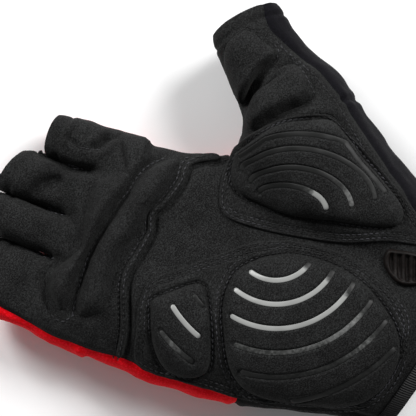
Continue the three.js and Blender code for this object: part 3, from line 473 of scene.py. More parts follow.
# %% A map of the palm side
MAP_STEP = 0.6
LEAN = 0.35
LEAST_LEAN = 0.4
map_low = np.array((-62.0, -112.0))
map_size = (290, 355)
map_x, map_y = np.meshgrid(map_low[0] + MAP_STEP * np.arange(map_size[0]),
                           map_low[1] + MAP_STEP * np.arange(map_size[1]), indexing="ij")
map_base = np.stack([map_x, map_y, skin_height(map_x, map_y)], axis=-1).reshape(-1, 3)
map_out = unit(slope_of(map_base))
map_way = unit(map_out * (LEAN, LEAN, 1))
map_way = map_way / np.maximum(np.sum(map_way * map_out, axis=1, keepdims=True), LEAST_LEAN)
map_relief = cloth_ripple(map_base) + crease_relief(map_base, map_out)
map_base = map_base + map_way * map_relief[:, None]
palm_map = np.hstack([map_base, map_way, map_out]).reshape(*map_size, 9)


def read_map(x, y):
    """The map's nine columns at plan places, each the mean of the four grid points around it by
    nearness."""
    u = np.clip((x - map_low[0]) / MAP_STEP, 0, map_size[0] - 1.001)
    v = np.clip((y - map_low[1]) / MAP_STEP, 0, map_size[1] - 1.001)
    i, j = u.astype(int), v.astype(int)
    s, t = (u - i)[..., None], (v - j)[..., None]
    return ((1 - s) * ((1 - t) * palm_map[i, j] + t * palm_map[i, j + 1])
            + s * ((1 - t) * palm_map[i + 1, j] + t * palm_map[i + 1, j + 1]))


def on_skin(x, y, offset):
    """Points over plan places, raised from the skin's surface by an offset."""
    here = read_map(x, y)
    return here[..., :3] + here[..., 3:6] * np.asarray(offset)[..., None]


print("palm map: %d points, up to %.1f mm high" % (palm_map[..., 2].size, palm_map[..., 2].max()))


# %% [markdown]
# Meshes go into Blender as whole arrays. A grid of points becomes a sheet, and closing it in one or both
# directions makes a tube or a ring.

# %% Meshes from arrays
def add_mesh(name, points, *faces):
    """A smooth mesh object from points in drawing millimetres and arrays of faces."""
    mesh = bpy.data.meshes.new(name)
    mesh.from_pydata(placed(points).tolist(), [], [face for part in faces for face in part.tolist()])
    mesh.shade_smooth()
    made = bpy.data.objects.new(name, mesh)
    bpy.context.scene.collection.objects.link(made)
    return made


def grid_faces(rows, columns, start=0):
    """Quads over rings of points numbered ring by ring, each ring closed."""
    i = np.arange(rows - 1)[:, None]
    j = np.arange(columns)[None, :]
    k = (j + 1) % columns
    return np.stack([i * columns + j, i * columns + k, (i + 1) * columns + k, (i + 1) * columns + j],
                    axis=-1).reshape(-1, 4) + start


def closed_rings(rings):
    """A closed surface through rings of points: quads between neighbours and a fan over the first and
    the last."""
    rows, columns = rings.shape[:2]
    points = np.vstack([rings.reshape(-1, 3), rings[0].mean(0), rings[-1].mean(0)])
    j = np.arange(columns)
    k = (j + 1) % columns
    first, last = rows * columns, (rows - 1) * columns
    start = np.stack([np.full(columns, first), k, j], axis=1)
    end = np.stack([np.full(columns, first + 1), last + j, last + k], axis=1)
    return points, grid_faces(rows, columns), start, end


def turned_out(made):
    """The object with all its faces turned to point outwards."""
    work = bmesh.new()
    work.from_mesh(made.data)
    bmesh.ops.recalc_face_normals(work, faces=work.faces)
    work.to_mesh(made.data)
    work.free()
    made.data.shade_smooth()
    return made


def add_closed(name, rings):
    """An object from closed rings, with its faces turned to point outwards."""
    return turned_out(add_mesh(name, *closed_rings(rings)))


def limb_loft(member, slim):
    """A closed tube along a limb: oval sections a tube step apart, over the whole of its table."""
    along = np.arange(member["rows"][0, 0], member["rows"][-1, 0], TUBE_STEP)
    angle = np.linspace(0, 2 * math.pi, TUBE_SIDES, endpoint=False)
    middle, half, waist, up, down = (v[:, None] for v in section_of(member, along))
    side, lift = np.cos(angle), np.sin(angle)
    power = 2 / SECTION_POWER
    across = middle + slim * half * np.sign(side) * np.abs(side) ** power
    height = waist + np.where(lift > 0, up, down) * np.sign(lift) * np.abs(lift) ** power
    plan = member["start"] + along[:, None, None] * member["ahead"] + across[..., None] * member["right"]
    return np.concatenate([plan, height[..., None]], axis=-1)


# %% [markdown]
# A hand branches into five tubes, so its skin can't be one grid. The limbs are made as overlapping closed
# tubes, and Blender's voxel remesh fuses them into one skin of small even faces. Each point is then moved
# onto the surface where the distance function is zero, which brings back the exact form and its soft webs.
# The fingers start a little slim, so that the remesh keeps a slit between them.

# %% One skin for the whole hand
VOXEL = 0.85
SLIM = 0.86
TUBE_STEP = 2.0
TUBE_SIDES = 72
SNAP_ROUNDS = 5
SNAP_STEP = 0.8
LEAST_STEEP = 0.3


def fused_skin():
    """The limbs' tubes as one mesh, remeshed and read back as points and triangles."""
    parts, count = [], 0
    for member in (palm, thumb, *finger_limbs):
        slim = 1 if member is palm or member is thumb else SLIM
        points, *faces = closed_rings(limb_loft(member, slim))
        parts.append((points, [face + count for face in faces]))
        count += len(points)
    rough = add_mesh("rough_hand", np.vstack([points for points, _ in parts]),
                     *[face for _, faces in parts for face in faces])
    remesh = rough.modifiers.new("fuse", "REMESH")
    remesh.mode = "VOXEL"
    remesh.voxel_size = VOXEL * MM
    fused = rough.evaluated_get(bpy.context.evaluated_depsgraph_get()).to_mesh()
    fused.calc_loop_triangles()
    places = np.empty(len(fused.vertices) * 3)
    fused.vertices.foreach_get("co", places)
    corners = np.empty(len(fused.loop_triangles) * 3, np.int32)
    fused.loop_triangles.foreach_get("vertices", corners)
    bpy.data.objects.remove(rough)
    return (places.reshape(-1, 3) - drawing_origin) / MM, corners.reshape(-1, 3).astype(int)


skin_base, triangles = fused_skin()
own_finger = np.stack([outside_limb(member, *skin_base.T) for member in finger_limbs]).argmin(0)
for _ in range(SNAP_ROUNDS):
    slope = slope_of(skin_base, own_finger)
    gap = outside_hand(*skin_base.T, own_finger)
    steepness = np.maximum((slope**2).sum(1), LEAST_STEEP)
    skin_base = skin_base - slope * np.clip(gap / steepness, -SNAP_STEP, SNAP_STEP)[:, None]
print("skin: %d points, %d triangles" % (len(skin_base), len(triangles)))

# %% [markdown]
# The real glove is sewn from flat panels, and each seam pulls a shallow valley into the cloth. Each seam
# here is the zero line of a column of numbers that is kept for every point of the skin. The triangles that
# such a line crosses are split exactly on it, so the panels part along clean curves and not along the
# remesh's steps.

# %% Seam lines as columns
GUSSET_WIDTH = 9
GUSSET_DEPTH = 18
GUSSET_RISE = 5
GUSSET_FLARE = 0.07
WRIST_TUCK = 5
WAIST_FADE = 5
FAR_ROOM = 9.0
TUBE_REACH = 6
TUBE_SHARE = 0.5
# The suede wraps a little below the waist everywhere but along the little finger's side
SEAM_DROP = 7
SEAM_DROP_FROM = -40
SEAM_DROP_OVER = 10
limbs = (palm, thumb, *finger_limbs)


def waist_height(x, y):
    """The side seam's height: the mean of the limbs' waists, each weighted by how near it is."""
    total, weight = np.zeros_like(x), np.full_like(x, 1e-9)
    for member in limbs:
        waist = section_of(member, in_limb(member, x, y)[0])[2]
        near = np.exp(-np.maximum(outside_limb(member, x, y, waist), -WAIST_FADE) / WAIST_FADE) + 1e-9
        total += near * waist
        weight += near
    return total / weight


def end_room(points):
    """How far each point lies inside its own limb's open end, which leans forward on top and draws back
    at its sides."""
    x, y, z = points.T
    tubes = (thumb, *finger_limbs)
    gaps = np.stack([outside_limb(member, x, y, z) for member in tubes])
    room = np.full(len(points), FAR_ROOM)
    for member, own in zip(tubes, gaps):
        along, across = in_limb(member, x, y)
        middle, half, waist, up, down = section_of(member, along)
        above = z - waist
        climb = np.clip(np.abs(above / np.where(above > 0, up, down)), 0, 1)
        lift = np.sign(above) * climb ** (SECTION_POWER / 2)
        beside = np.clip(np.abs((across - middle) / half), 0, 1) ** SECTION_POWER
        width = 2 * member["rows"][-1, 2]
        here = (member["reach"] + width * (END_LEAN * lift - END_ROUND * beside)
                + member["slant"] * (across - middle) - along)
        nearest = (own <= gaps.min(0) + 1e-9) & (own < TUBE_REACH) & (along > member["reach"] * TUBE_SHARE)
        room = np.where(nearest, here, room)
    return room


def beyond(x, y, place=WRIST_PLACE * PALM_LENGTH):
    """The distance from the wrist's slanted line, positive towards the fingers."""
    turn = math.radians(WRIST_SLANT)
    return math.sin(turn) * x + math.cos(turn) * (y - place)


x, y, z = skin_base.T
seam_drop = SEAM_DROP * np.clip((x - SEAM_DROP_FROM) / SEAM_DROP_OVER, 0, 1)
columns = {
    "room": end_room(skin_base),
    "wrist": beyond(x, y) + WRIST_TUCK,
    "front": np.minimum(z - waist_height(x, y) + seam_drop, inside_distance(outline["palm"], x, y)),
}
for name in ("finger", "thumb", "side", "cuff"):
    columns[name] = inside_distance(outline[name], x, y)
names = list(fingers)
for i in range(len(names) - 1):
    root, width, _, heading, _ = fingers[names[i]]
    next_root, next_width, _, next_heading, _ = fingers[names[i + 1]]
    crotch_x = (root - width / 2 + next_root + next_width / 2) / 2 * PALM_WIDTH
    crotch_y = FINGER_ROOT * PALM_LENGTH
    turn = math.radians((heading + next_heading) / 2)
    across = (x - crotch_x) * math.sin(turn) - (y - crotch_y) * math.cos(turn)
    ahead = (x - crotch_x) * math.cos(turn) + (y - crotch_y) * math.sin(turn)
    middle = waist_height(np.array([crotch_x]), np.array([crotch_y]))[0]
    columns[f"gusset_{names[i]}_{names[i + 1]}"] = np.minimum.reduce([
        GUSSET_WIDTH / 2 + GUSSET_FLARE * np.clip(ahead, 0, None) - np.abs(across), ahead + GUSSET_WIDTH / 2,
        z - middle + GUSSET_DEPTH,
        middle + GUSSET_RISE - np.clip(ahead - GUSSET_WIDTH, 0, GUSSET_RISE) - z])
column_of = {name: 3 + i for i, name in enumerate(columns)}
print("columns:", ", ".join(columns))


# %% [markdown]
# Each point then gets its relief: creases and ripples on the palm side, a valley along each seam, and a hem
# line round each open end. The back is pressed flat where it lies on the table.

# %% Relief and cuts
SEAM_DEPTH = 0.7
SEAM_HALF = 1.0
HEM_LINE = 5.0
HEM_LINE_DEPTH = 0.45
HEM_LINE_HALF = 0.8
HEM_SHADOW = 1.8
HEM_SHADOW_PLACE = 0.7
HEM_SHADOW_HALF = 0.9
END_TUCK = 0.5
END_TUCK_HALF = 0.9
FRONT_FADE = 2
FLAT_BLEND = 0.6

on_front = np.clip(columns["front"] / FRONT_FADE, 0, 1)
skin_out = unit(slope_of(skin_base, own_finger))
relief = cloth_ripple(skin_base) + crease_relief(skin_base, skin_out)
relief += groove(np.abs(columns["front"]), SEAM_DEPTH, SEAM_HALF)
relief += groove(np.abs(columns["thumb"]), SEAM_DEPTH / 3, SEAM_HALF) * on_front
relief -= HEM_SHADOW * np.exp(-(((columns["finger"] + HEM_SHADOW_PLACE) / HEM_SHADOW_HALF) ** 2)) * on_front
for name in ("side", "cuff"):
    relief += groove(np.abs(columns[name]), SEAM_DEPTH, SEAM_HALF) * (1 - on_front)
relief += groove(np.abs(columns["room"] - HEM_LINE), HEM_LINE_DEPTH, HEM_LINE_HALF)
relief -= END_TUCK * np.exp(-((columns["room"] / END_TUCK_HALF) ** 2))
moved = skin_base + skin_out * relief[:, None]
sunk = moved[:, 2]
moved[:, 2] = (sunk + np.sqrt(sunk**2 + FLAT_BLEND**2)) / 2
skin = np.hstack([moved, np.stack(list(columns.values()), axis=1)])


def cut_along(skin, triangles, column, chosen=None):
    """Splits the chosen triangles along the line where a column is zero. A new point lies on each edge
    that crosses it, with every column taken in proportion."""
    value = np.where(np.abs(skin[:, column]) < 1e-4, 1e-4, skin[:, column])
    above = value[triangles] > 0
    count = above.sum(1)
    mixed = (count > 0) & (count < 3)
    if chosen is not None:
        mixed &= chosen
    crossed = triangles[mixed]
    lone = np.where(count[mixed] == 1, above[mixed].argmax(1), above[mixed].argmin(1))
    a, b, c = crossed[np.arange(len(crossed))[:, None], (lone[:, None] + np.arange(3)) % 3].T
    edges = np.sort(np.stack([np.concatenate([a, a]), np.concatenate([b, c])], axis=1), axis=1)
    ends, place = np.unique(edges, axis=0, return_inverse=True)
    start, end = ends.T
    share = (value[start] / (value[start] - value[end]))[:, None]
    fresh = skin[start] * (1 - share) + skin[end] * share
    fresh[:, column] = 0
    ab, ac = np.split(place.ravel() + len(skin), 2)
    parts = [triangles[~mixed], np.stack([a, ab, ac], 1), np.stack([ab, b, c], 1), np.stack([ab, c, ac], 1)]
    return np.vstack([skin, fresh]), np.vstack(parts)


def side_of(name):
    """The mean of a column over each triangle, whose sign says on which side of that seam it lies."""
    return skin[triangles, column_of[name]].mean(1)


for name in ("room", "wrist"):
    skin, triangles = cut_along(skin, triangles, column_of[name])
    triangles = triangles[side_of(name) > 0]
gusset_names = [name for name in column_of if name.startswith("gusset")]
for name in (*gusset_names, "front"):
    skin, triangles = cut_along(skin, triangles, column_of[name])
for name, front in (("finger", True), ("thumb", True), ("side", False), ("cuff", False)):
    skin, triangles = cut_along(skin, triangles, column_of[name], (side_of("front") > 0) == front)
print("after the cuts: %d triangles" % len(triangles))

# %% [markdown]
# The panels are sorted out by the signs of the columns. Solidify gives each one its wall on the inside, so
# the glove is hollow as the real one is, and open at the wrist and at all five finger ends.

# %% Sewn panels
WALL = 1.3


def panel(name, chosen):
    """One panel of the skin, with a cloth's thickness inwards."""
    used, corners = np.unique(triangles[chosen], return_inverse=True)
    made = add_mesh(name, skin[used, :3], corners.reshape(-1, 3))
    wall = made.modifiers.new("wall", "SOLIDIFY")
    wall.thickness = WALL * MM
    wall.offset = -1
    return made


is_gusset = np.zeros(len(triangles), bool)
pieces = {}
for name in gusset_names:
    here = side_of(name) > 0
    pieces[name] = panel("skin_" + name, here & ~is_gusset)
    is_gusset |= here
is_front = (side_of("front") > 0) & ~is_gusset
is_back = ~is_front & ~is_gusset
in_finger, in_thumb = side_of("finger") > 0, side_of("thumb") > 0
in_side, in_cuff = side_of("side") > 0, side_of("cuff") > 0
pieces["finger_panel"] = panel("finger_suede", is_front & in_finger)
pieces["thumb_panel"] = panel("thumb_suede", is_front & ~in_finger & in_thumb)
pieces["palm_panel"] = panel("palm_suede", is_front & ~in_finger & ~in_thumb)
pieces["side_panel"] = panel("thumb_side_stretch", is_back & in_side)
pieces["cuff_panel"] = panel("cuff_cloth", is_back & ~in_side & in_cuff)
pieces["back_panel"] = panel("back_knit", is_back & ~in_side & ~in_cuff)
for name, piece in pieces.items():
    print(name, len(piece.data.polygons), "faces")

# %% [markdown]
# Pads and patches are drawn as a closed outline in plan. A patch or pad is a dish of rings that shrink from
# that outline to a centre, with each point raised from the skin. The points lie about half a millimetre
# apart, which is fine enough to carry the grooves of the print as real shape.

# %% Outlines of the layers
thenar_patch_outline = [
    (0.46, 0.072), (0.38, 0.071), (0.29, 0.056), (0.243, 0.019), (0.243, -0.058), (0.262, -0.153),
    (0.306, -0.284), (0.378, -0.4), (0.412, -0.49), (0.45, -0.505), (0.55, -0.425), (0.665, -0.3),
    (0.735, -0.215), (0.782, -0.143), (0.76, -0.085), (0.7, -0.02), (0.61, 0.036), (0.54, 0.062),
]
heel_patch_outline = [
    (-0.452, 0.125), (-0.33, 0.148), (-0.228, 0.166), (-0.113, 0.159), (-0.038, 0.105), (0.087, 0.008),
    (0.185, -0.069), (0.247, -0.17), (0.268, -0.29), (0.235, -0.4), (0.19, -0.467), (0.11, -0.53),
    (-0.03, -0.55), (-0.16, -0.543), (-0.29, -0.505), (-0.37, -0.38), (-0.425, -0.25), (-0.455, -0.16),
    (-0.46, -0.06), (-0.475, 0.02), (-0.478, 0.07),
]
thenar_gel_outline = [
    (0.465, 0.054), (0.525, 0.046), (0.592, 0.02), (0.68, -0.026), (0.74, -0.098), (0.765, -0.148),
    (0.73, -0.2), (0.67, -0.257), (0.608, -0.328), (0.545, -0.39), (0.5, -0.412), (0.452, -0.403),
    (0.417, -0.344), (0.384, -0.238), (0.345, -0.133), (0.345, -0.054), (0.357, 0.008), (0.4, 0.043),
]
heel_gel_outline = [
    (-0.105, -0.05), (-0.041, -0.044), (0.042, -0.052), (0.12, -0.094), (0.18, -0.158), (0.206, -0.237),
    (0.2, -0.32), (0.158, -0.402), (0.08, -0.477), (-0.012, -0.522), (-0.117, -0.532), (-0.23, -0.51),
    (-0.315, -0.455), (-0.375, -0.334), (-0.405, -0.234), (-0.395, -0.168), (-0.33, -0.117), (-0.184, -0.068),
]
edge_gel_outline = [
    (-0.23, 0.128), (-0.188, 0.132), (-0.142, 0.1), (-0.08, 0.053), (-0.063, 0.024), (-0.11, -0.003),
    (-0.263, -0.047), (-0.38, -0.067), (-0.435, -0.033), (-0.44, 0.035), (-0.36, 0.09),
]
tab_outline = [
    (0.345, -0.408), (0.358, -0.43), (0.372, -0.48), (0.366, -0.535), (0.33, -0.555), (0.265, -0.53),
    (0.228, -0.475), (0.248, -0.435), (0.295, -0.408),
]
thumb_tip_outline = [
    (-0.55, 0.88), (-0.45, 0.93), (-0.34, 0.947), (-0.18, 0.957), (-0.08, 0.935), (0.0, 0.878), (0.07, 0.825),
    (0.04, 0.797), (-0.18, 0.778), (-0.4, 0.732), (-0.6, 0.68), (-0.61, 0.78),
]
thumb_base_outline = [
    (0.04, 0.75), (0.24, 0.73), (0.32, 0.66), (0.3, 0.585), (0.12, 0.565), (-0.12, 0.572), (-0.33, 0.568),
    (-0.6, 0.555), (-0.66, 0.6), (-0.6, 0.637), (-0.4, 0.7), (-0.19, 0.74),
]


def on_thumb(points):
    """Places in the thumb's own line, shares of its width across and of its reach along, as millimetres
    in plan."""
    across, along = np.asarray(points, float).T[..., None]
    return thumb["start"] + along * THUMB_REACH * thumb["ahead"] + across * THUMB_WIDTH * thumb["right"]


rims = {
    "thenar_patch": curve_through(shares(thenar_patch_outline), closed=True),
    "heel_patch": curve_through(shares(heel_patch_outline), closed=True),
    "thenar_gel": curve_through(shares(thenar_gel_outline), closed=True),
    "heel_gel": curve_through(shares(heel_gel_outline), closed=True),
    "edge_gel": curve_through(shares(edge_gel_outline), closed=True),
    "tab": curve_through(shares(tab_outline), closed=True),
    "thumb_tip": curve_through(on_thumb(thumb_tip_outline), closed=True),
    "thumb_base": curve_through(on_thumb(thumb_base_outline), closed=True),
}
print("outlines:", {name: "%d mm round" % len(rim) for name, rim in rims.items()})


# %% [markdown]
# Rows of stitches hold the layers. Each row draws a shallow channel into the cloth, so the rows are planned
# before the patches are made. Most of them run beside an outline at a set distance.

# %% Stitch rows
def beside(curve, distance, closed=True):
    """A curve moved sideways in plan: every point steps along its own normal, to the left of the curve's
    way."""
    way = np.roll(curve, -1, 0) - np.roll(curve, 1, 0) if closed else np.gradient(curve, axis=0)
    way = unit(way)
    return curve + distance * np.stack([-way[:, 1], way[:, 0]], axis=1)


def inward(curve, distance):
    """A closed outline drawn in by a distance, whichever way round it runs."""
    x, y = curve.T
    turn = np.sign(np.sum(x * np.roll(y, -1) - y * np.roll(x, -1)))
    return beside(curve, distance * turn)


# Each row: the rim it runs beside and how far in from it, in mm
heel_row_places = [("heel_patch", 1.5), ("heel_patch", 3.3), ("heel_gel", -1.0), ("edge_gel", -1.0),
                   ("heel_gel", -2.9)]
thenar_row_places = [("thenar_patch", 1.4), ("thenar_patch", 3.2), ("thenar_gel", -1.0)]
rows_on_heel = [inward(rims[name], distance) for name, distance in heel_row_places]
rows_on_thenar = [inward(rims[name], distance) for name, distance in thenar_row_places]
print("stitch rows on the patches:", len(rows_on_heel) + len(rows_on_thenar))


def channels(rows, x, y, depth=0.4, half=0.75):
    """The pull of stitch rows on the cloth: a shallow rounded channel along each."""
    total = np.zeros(x.shape)
    for row in rows:
        gap, _ = distance_to(row, x, y, closed=True)
        total += groove(gap, depth, half)
    return total


# %% [markdown]
# The print on the two outer pads follows rings round one centre, and on the thumb's pad a nest of half
# ovals. On the real glove the gel is moulded with grooves, and silver print lies in them, so each stripe
# needs a groove in its pad and a thin glossy ribbon in that groove.

# %% Routes of the print
ring_centre = (0.225, -0.1215)
ring_first = np.array((0.1696, 0.1083))
ring_pitch = np.array((0.0978, 0.0625))
heel_spans = [(160, 264), (160, 268), (169, 264), (178, 262), (185, 258), (196, 253)]
edge_spans = [(2.5, 144, 153), (3.5, 142, 162), (4.5, 148, 166)]
thenar_ovals = [
    # centre x and y, length and depth in shares of the palm, first and last angle
    (0.383, -0.129, 0.094, 0.088, 16, 168),
    (0.412, -0.143, 0.138, 0.137, 12, 170),
    (0.446, -0.155, 0.18, 0.185, 11, 168),
    (0.478, -0.166, 0.214, 0.218, 20, 160),
]
OVAL_TURN = math.radians(7)
PRINT_INSET = 2.4
RING_INSET = 1.5
ROUTE_SAMPLES = 160


def ring_route(turn, start, end):
    """Plan points half a millimetre apart along a ring: the centre plus radii times the cosine and sine."""
    angle = np.radians(np.linspace(start, end, ROUTE_SAMPLES))
    radii = ring_first + ring_pitch * turn
    return curve_through(shares(np.array(ring_centre) + radii * np.stack([np.cos(angle), np.sin(angle)], 1)),
                         spacing=0.5)


def oval_route(cx, cy, length, depth, start, end):
    """Plan points along a half oval: its length lies near the fingers' way and its depth towards the
    thumb."""
    angle = np.radians(np.linspace(start, end, ROUTE_SAMPLES))
    along, across = length * PALM_LENGTH * np.cos(angle), depth * PALM_WIDTH * np.sin(angle)
    c, s = math.cos(OVAL_TURN), math.sin(OVAL_TURN)
    return curve_through(np.stack([cx * PALM_WIDTH - along * s + across * c,
                                   cy * PALM_LENGTH + along * c + across * s], 1), spacing=0.5)


def kept_on(rim, route, probe=0.3):
    """A route whose points keep a set distance in from a pad's rim: nearer ones move in, square to the
    rim."""
    for _ in range(3):
        x, y = route.T
        slope = np.stack([inside_distance(rim, x + probe, y) - inside_distance(rim, x - probe, y),
                          inside_distance(rim, x, y + probe) - inside_distance(rim, x, y - probe)], axis=1)
        route = route + unit(slope) * np.clip(PRINT_INSET - inside_distance(rim, x, y), 0, None)[:, None]
    return route


heel_routes = [ring_route(i, start, end) for i, (start, end) in enumerate(heel_spans)]
heel_routes = [route[inside_distance(rims["heel_gel"], *route.T) > RING_INSET] for route in heel_routes]
edge_routes = [ring_route(*span) for span in edge_spans]
thenar_routes = [kept_on(rims["thenar_gel"], oval_route(*oval)) for oval in thenar_ovals]
print("print stripes:", len(heel_routes) + len(edge_routes) + len(thenar_routes))

# %% [markdown]
# A gel pad is a firm cushion under the suede: a short upright edge, a quarter round and a nearly flat top.
# The grooves for the print are cut into that height, and the suede between them stays slightly crowned.

# %% Gel pads
EDGE_STEP = 0.14
GEL_EDGE = 7
PATCH_TOP = SEAM_GAP + PATCH_THICKNESS
PAD_BASE = PATCH_TOP + SEAM_GAP
PAD_SINK = 0.2
PRINT_GROOVE = 0.6
PRINT_HALF = 0.95
PRINT_FLOOR = 0.9
PRINT_SHOULDER = 0.8
UNDERSIDE = np.array((0.3, 0.7, 0.97, 1.0))


def swell(rise, edge, gap):
    """A pad's height a given way in from its rim: a short upright edge, then a quarter round."""
    climb = np.clip(gap / edge, 0, 1)
    return rise * (EDGE_STEP + (1 - EDGE_STEP) * np.sqrt(1 - (1 - climb) ** 2))


def print_groove(routes, x, y):
    """The moulded grooves: flat floors as wide as the print, with soft shoulders and round ends."""
    total = np.zeros(x.shape)
    for route in routes:
        gap, _ = distance_to(route[::2], x, y)
        fall = np.clip((gap - PRINT_HALF * PRINT_FLOOR) / PRINT_SHOULDER, 0, 1)
        total = np.minimum(total, -PRINT_GROOVE * (1 - fall * fall * (3 - 2 * fall)))
    return total


def gel_top(rim, routes, x, y):
    """A gel pad's height over plan points: its base, its swell and the grooves of the given routes."""
    gap = np.maximum(inside_distance(rim, x, y), 0)
    return PAD_BASE + swell(GEL_RISE, GEL_EDGE, gap) + print_groove(routes, x, y)


def dish(name, rim, centre, top, base, rings, crowding=1.25):
    """A closed dish: rings of plan points shrink from the rim to the centre, raised by the top's height,
    and a shallow underside closes it."""
    fine = curve_through(rim, closed=True, spacing=0.5)
    share = 1 - np.linspace(0, 1, rings, endpoint=False) ** crowding
    plan = centre + (fine - centre) * share[:, None, None]
    upper = on_skin(plan[..., 0], plan[..., 1], top(plan[..., 0], plan[..., 1]))
    under = centre + (fine - centre) * UNDERSIDE[:, None, None]
    lower = on_skin(under[..., 0], under[..., 1], np.full(under.shape[:2], base))
    return add_closed(name, np.concatenate([lower, upper]))


gel_pads = {
    # node: rim, centre in shares, routes, rings
    "thenar_gel_pad": ("thenar_gel", (0.56, -0.17), thenar_routes, 60),
    "heel_gel_pad": ("heel_gel", (-0.1, -0.3), heel_routes, 74),
    "edge_gel_pad": ("edge_gel", (-0.26, 0.03), edge_routes, 44),
}
for node, (rim, centre, routes, rings) in gel_pads.items():
    top = lambda x, y, rim=rims[rim], routes=routes: gel_top(rim, routes, x, y)
    pieces[node] = dish(node.replace("_pad", "_cushion"), rims[rim], shares(centre), top,
                        PAD_BASE - PAD_SINK, rings)
    print(node, len(pieces[node].data.polygons), "faces")

# %% [markdown]
# The patches under the gel are single suede sheets about a millimetre thick. Their cut edge is turned down
# by the outer stitch row, and every row shows as a channel.

# %% Suede patches
PATCH_EDGE = 0.9
PATCH_STEP = 0.25
PAD_VALLEY = 0.8
PAD_VALLEY_PLACE = 0.3
PAD_VALLEY_HALF = 0.9
SHEET_BASE = 0.05


def patch_top(name, x, y):
    """A sheet with a turned-down edge, a channel along each stitch row and a deeper valley round each
    gel pad."""
    rows, pads = patch_details[name]
    edge = np.clip(inside_distance(rims[name], x, y) / PATCH_EDGE, 0, 1)
    rise = PATCH_STEP + (1 - PATCH_STEP) * np.sqrt(1 - (1 - edge) ** 2)
    height = SEAM_GAP + PATCH_THICKNESS * rise + channels(rows, x, y)
    for pad in pads:
        past = (inside_distance(rims[pad], x, y) + PAD_VALLEY_PLACE) / PAD_VALLEY_HALF
        height -= PAD_VALLEY * np.exp(-(past**2))
    return height


patch_details = {
    "thenar_patch": (rows_on_thenar, ["thenar_gel"]),
    "heel_patch": (rows_on_heel, ["heel_gel", "edge_gel"]),
}
for node, centre, rings in (("thenar_patch", (0.5, -0.17), 64), ("heel_patch", (-0.1, -0.2), 84)):
    top = lambda x, y, node=node: patch_top(node, x, y)
    pieces[node] = dish(node + "_suede", rims[node], shares(centre), top, SHEET_BASE, rings, crowding=1.0)
    print(node, len(pieces[node].data.polygons), "faces")


# %% [markdown]
# A stripe of print is a lens-shaped ribbon along its route. It narrows to a round end and stays just below
# the groove's shoulders. An amount is stored along it as an attribute and sets how bright the print is. It
# is partly real wear, where the print is rubbed off and only a dark film is left, and partly painted light:
# painted shade at the ends, where the pad curves down to its rim, and painted glints in a few bright patches.

# %% Print stripes
PRINT_RISE = 0.2
PRINT_LIFT = 0.06
TIP_SHARE = 0.04
RIBBON_ROUND = 0.7


def ribbon(name, route, half, rise, floor, end_length=1.0, profile=20):
    """A lens-shaped ribbon: round its profile the point goes sideways by the cosine and up by the sine,
    and its width and height fall to a quarter round at both ends."""
    count = len(route)
    spot = np.arange(count)
    step = np.linalg.norm(route[1] - route[0])
    to_end = np.minimum(spot, count - 1 - spot) * step / end_length
    taper = np.sqrt(np.clip(1 - (1 - np.clip(to_end + TIP_SHARE, 0, 1)) ** 2, 0.01, 1))[:, None]
    angle = np.linspace(0, 2 * math.pi, profile, endpoint=False)
    way = unit(np.gradient(route, axis=0))
    across = half * taper * np.cos(angle)
    plan_x = route[:, :1] - way[:, 1:] * across
    plan_y = route[:, 1:] + way[:, :1] * across
    height = floor(route[:, 0], route[:, 1])[:, None] + rise * taper * np.sign(np.sin(angle)) * (
        np.abs(np.sin(angle)) ** RIBBON_ROUND)
    made = add_closed(name, on_skin(plan_x, plan_y, height))
    return made, np.repeat(spot / (count - 1), profile)


def mark(piece, name, values):
    """Stores one number for each point of a mesh, the two end points last."""
    full = np.concatenate([values, values[:1], values[-1:]])
    layer = piece.data.attributes.new(name, "FLOAT", "POINT")
    layer.data.foreach_set("value", full.astype(np.float32))


# Silver left along each stripe, partly real wear, partly painted shade and glints: place along it, amount
silver_wear_and_painted_light = {
    "heel_stripe_1": [(0, 1), (0.84, 1), (0.92, 0.3), (1, 0.1)],
    "heel_stripe_2": [(0, 1), (0.87, 1), (0.93, 0.3), (1, 0.1)],
    "heel_stripe_3": [(0, 1), (0.86, 1), (0.92, 0.4), (1, 0.15)],
    "heel_stripe_4": [(0, 0.42), (0.3, 0.46), (0.55, 0.5), (0.68, 0.64), (0.86, 0.66), (0.95, 0.25),
                      (1, 0.1)],
    "heel_stripe_5": [(0, 0.12), (0.3, 0.22), (0.6, 0.3), (0.72, 0.44), (0.85, 0.5), (0.92, 0.2), (1, 0.1)],
    "heel_stripe_6": [(0, 0.1), (0.4, 0.16), (0.8, 0.22), (1, 0.1)],
    "edge_stripe_1": [(0, 0.1), (0.5, 0.2), (1, 0.1)],
    "edge_stripe_2": [(0, 1), (0.9, 1), (1, 0.6)],
    "edge_stripe_3": [(0, 0.3), (0.4, 0.55), (0.8, 0.3), (1, 0.15)],
    "thenar_stripe_1": [(0, 0.1), (0.5, 0.14), (0.68, 0.5), (0.75, 1), (1, 1)],
    "thenar_stripe_2": [(0, 0.3), (0.06, 0.1), (0.6, 0.12), (0.8, 0.3), (0.9, 0.58), (1, 0.5)],
    "thenar_stripe_3": [(0, 0.25), (0.08, 0.1), (0.6, 0.12), (0.86, 0.2), (1, 0.2)],
    "thenar_stripe_4": [(0, 0.1), (0.7, 0.1), (1, 0.16)],
}
stripe_routes = {f"heel_stripe_{i + 1}": ("heel_gel", route) for i, route in enumerate(heel_routes)}
stripe_routes |= {f"edge_stripe_{i + 1}": ("edge_gel", route) for i, route in enumerate(edge_routes)}
stripe_routes |= {f"thenar_stripe_{i + 1}": ("thenar_gel", route) for i, route in enumerate(thenar_routes)}
for node, (rim, route) in stripe_routes.items():
    floor = lambda x, y, rim=rims[rim], route=route: gel_top(rim, [route], x, y) + PRINT_LIFT
    pieces[node], places = ribbon(node.replace("stripe", "print"), route, PRINT_HALF, PRINT_RISE, floor)
    spots, amounts = np.array(silver_wear_and_painted_light[node]).T
    # The amount stored here is partly real wear and partly painted shade and painted glints.
    mark(pieces[node], "silver", np.interp(places, spots, amounts))
print("print ribbons:", len(stripe_routes))

# %% [markdown]
# Two foam rolls cross the finger roots, and two foam pads lie on the thumb. The suede runs on over them, so
# each rises from the skin in a soft curve and its own edge is sunk a little below the skin. Small puckers
# show where the stitches gather the suede.

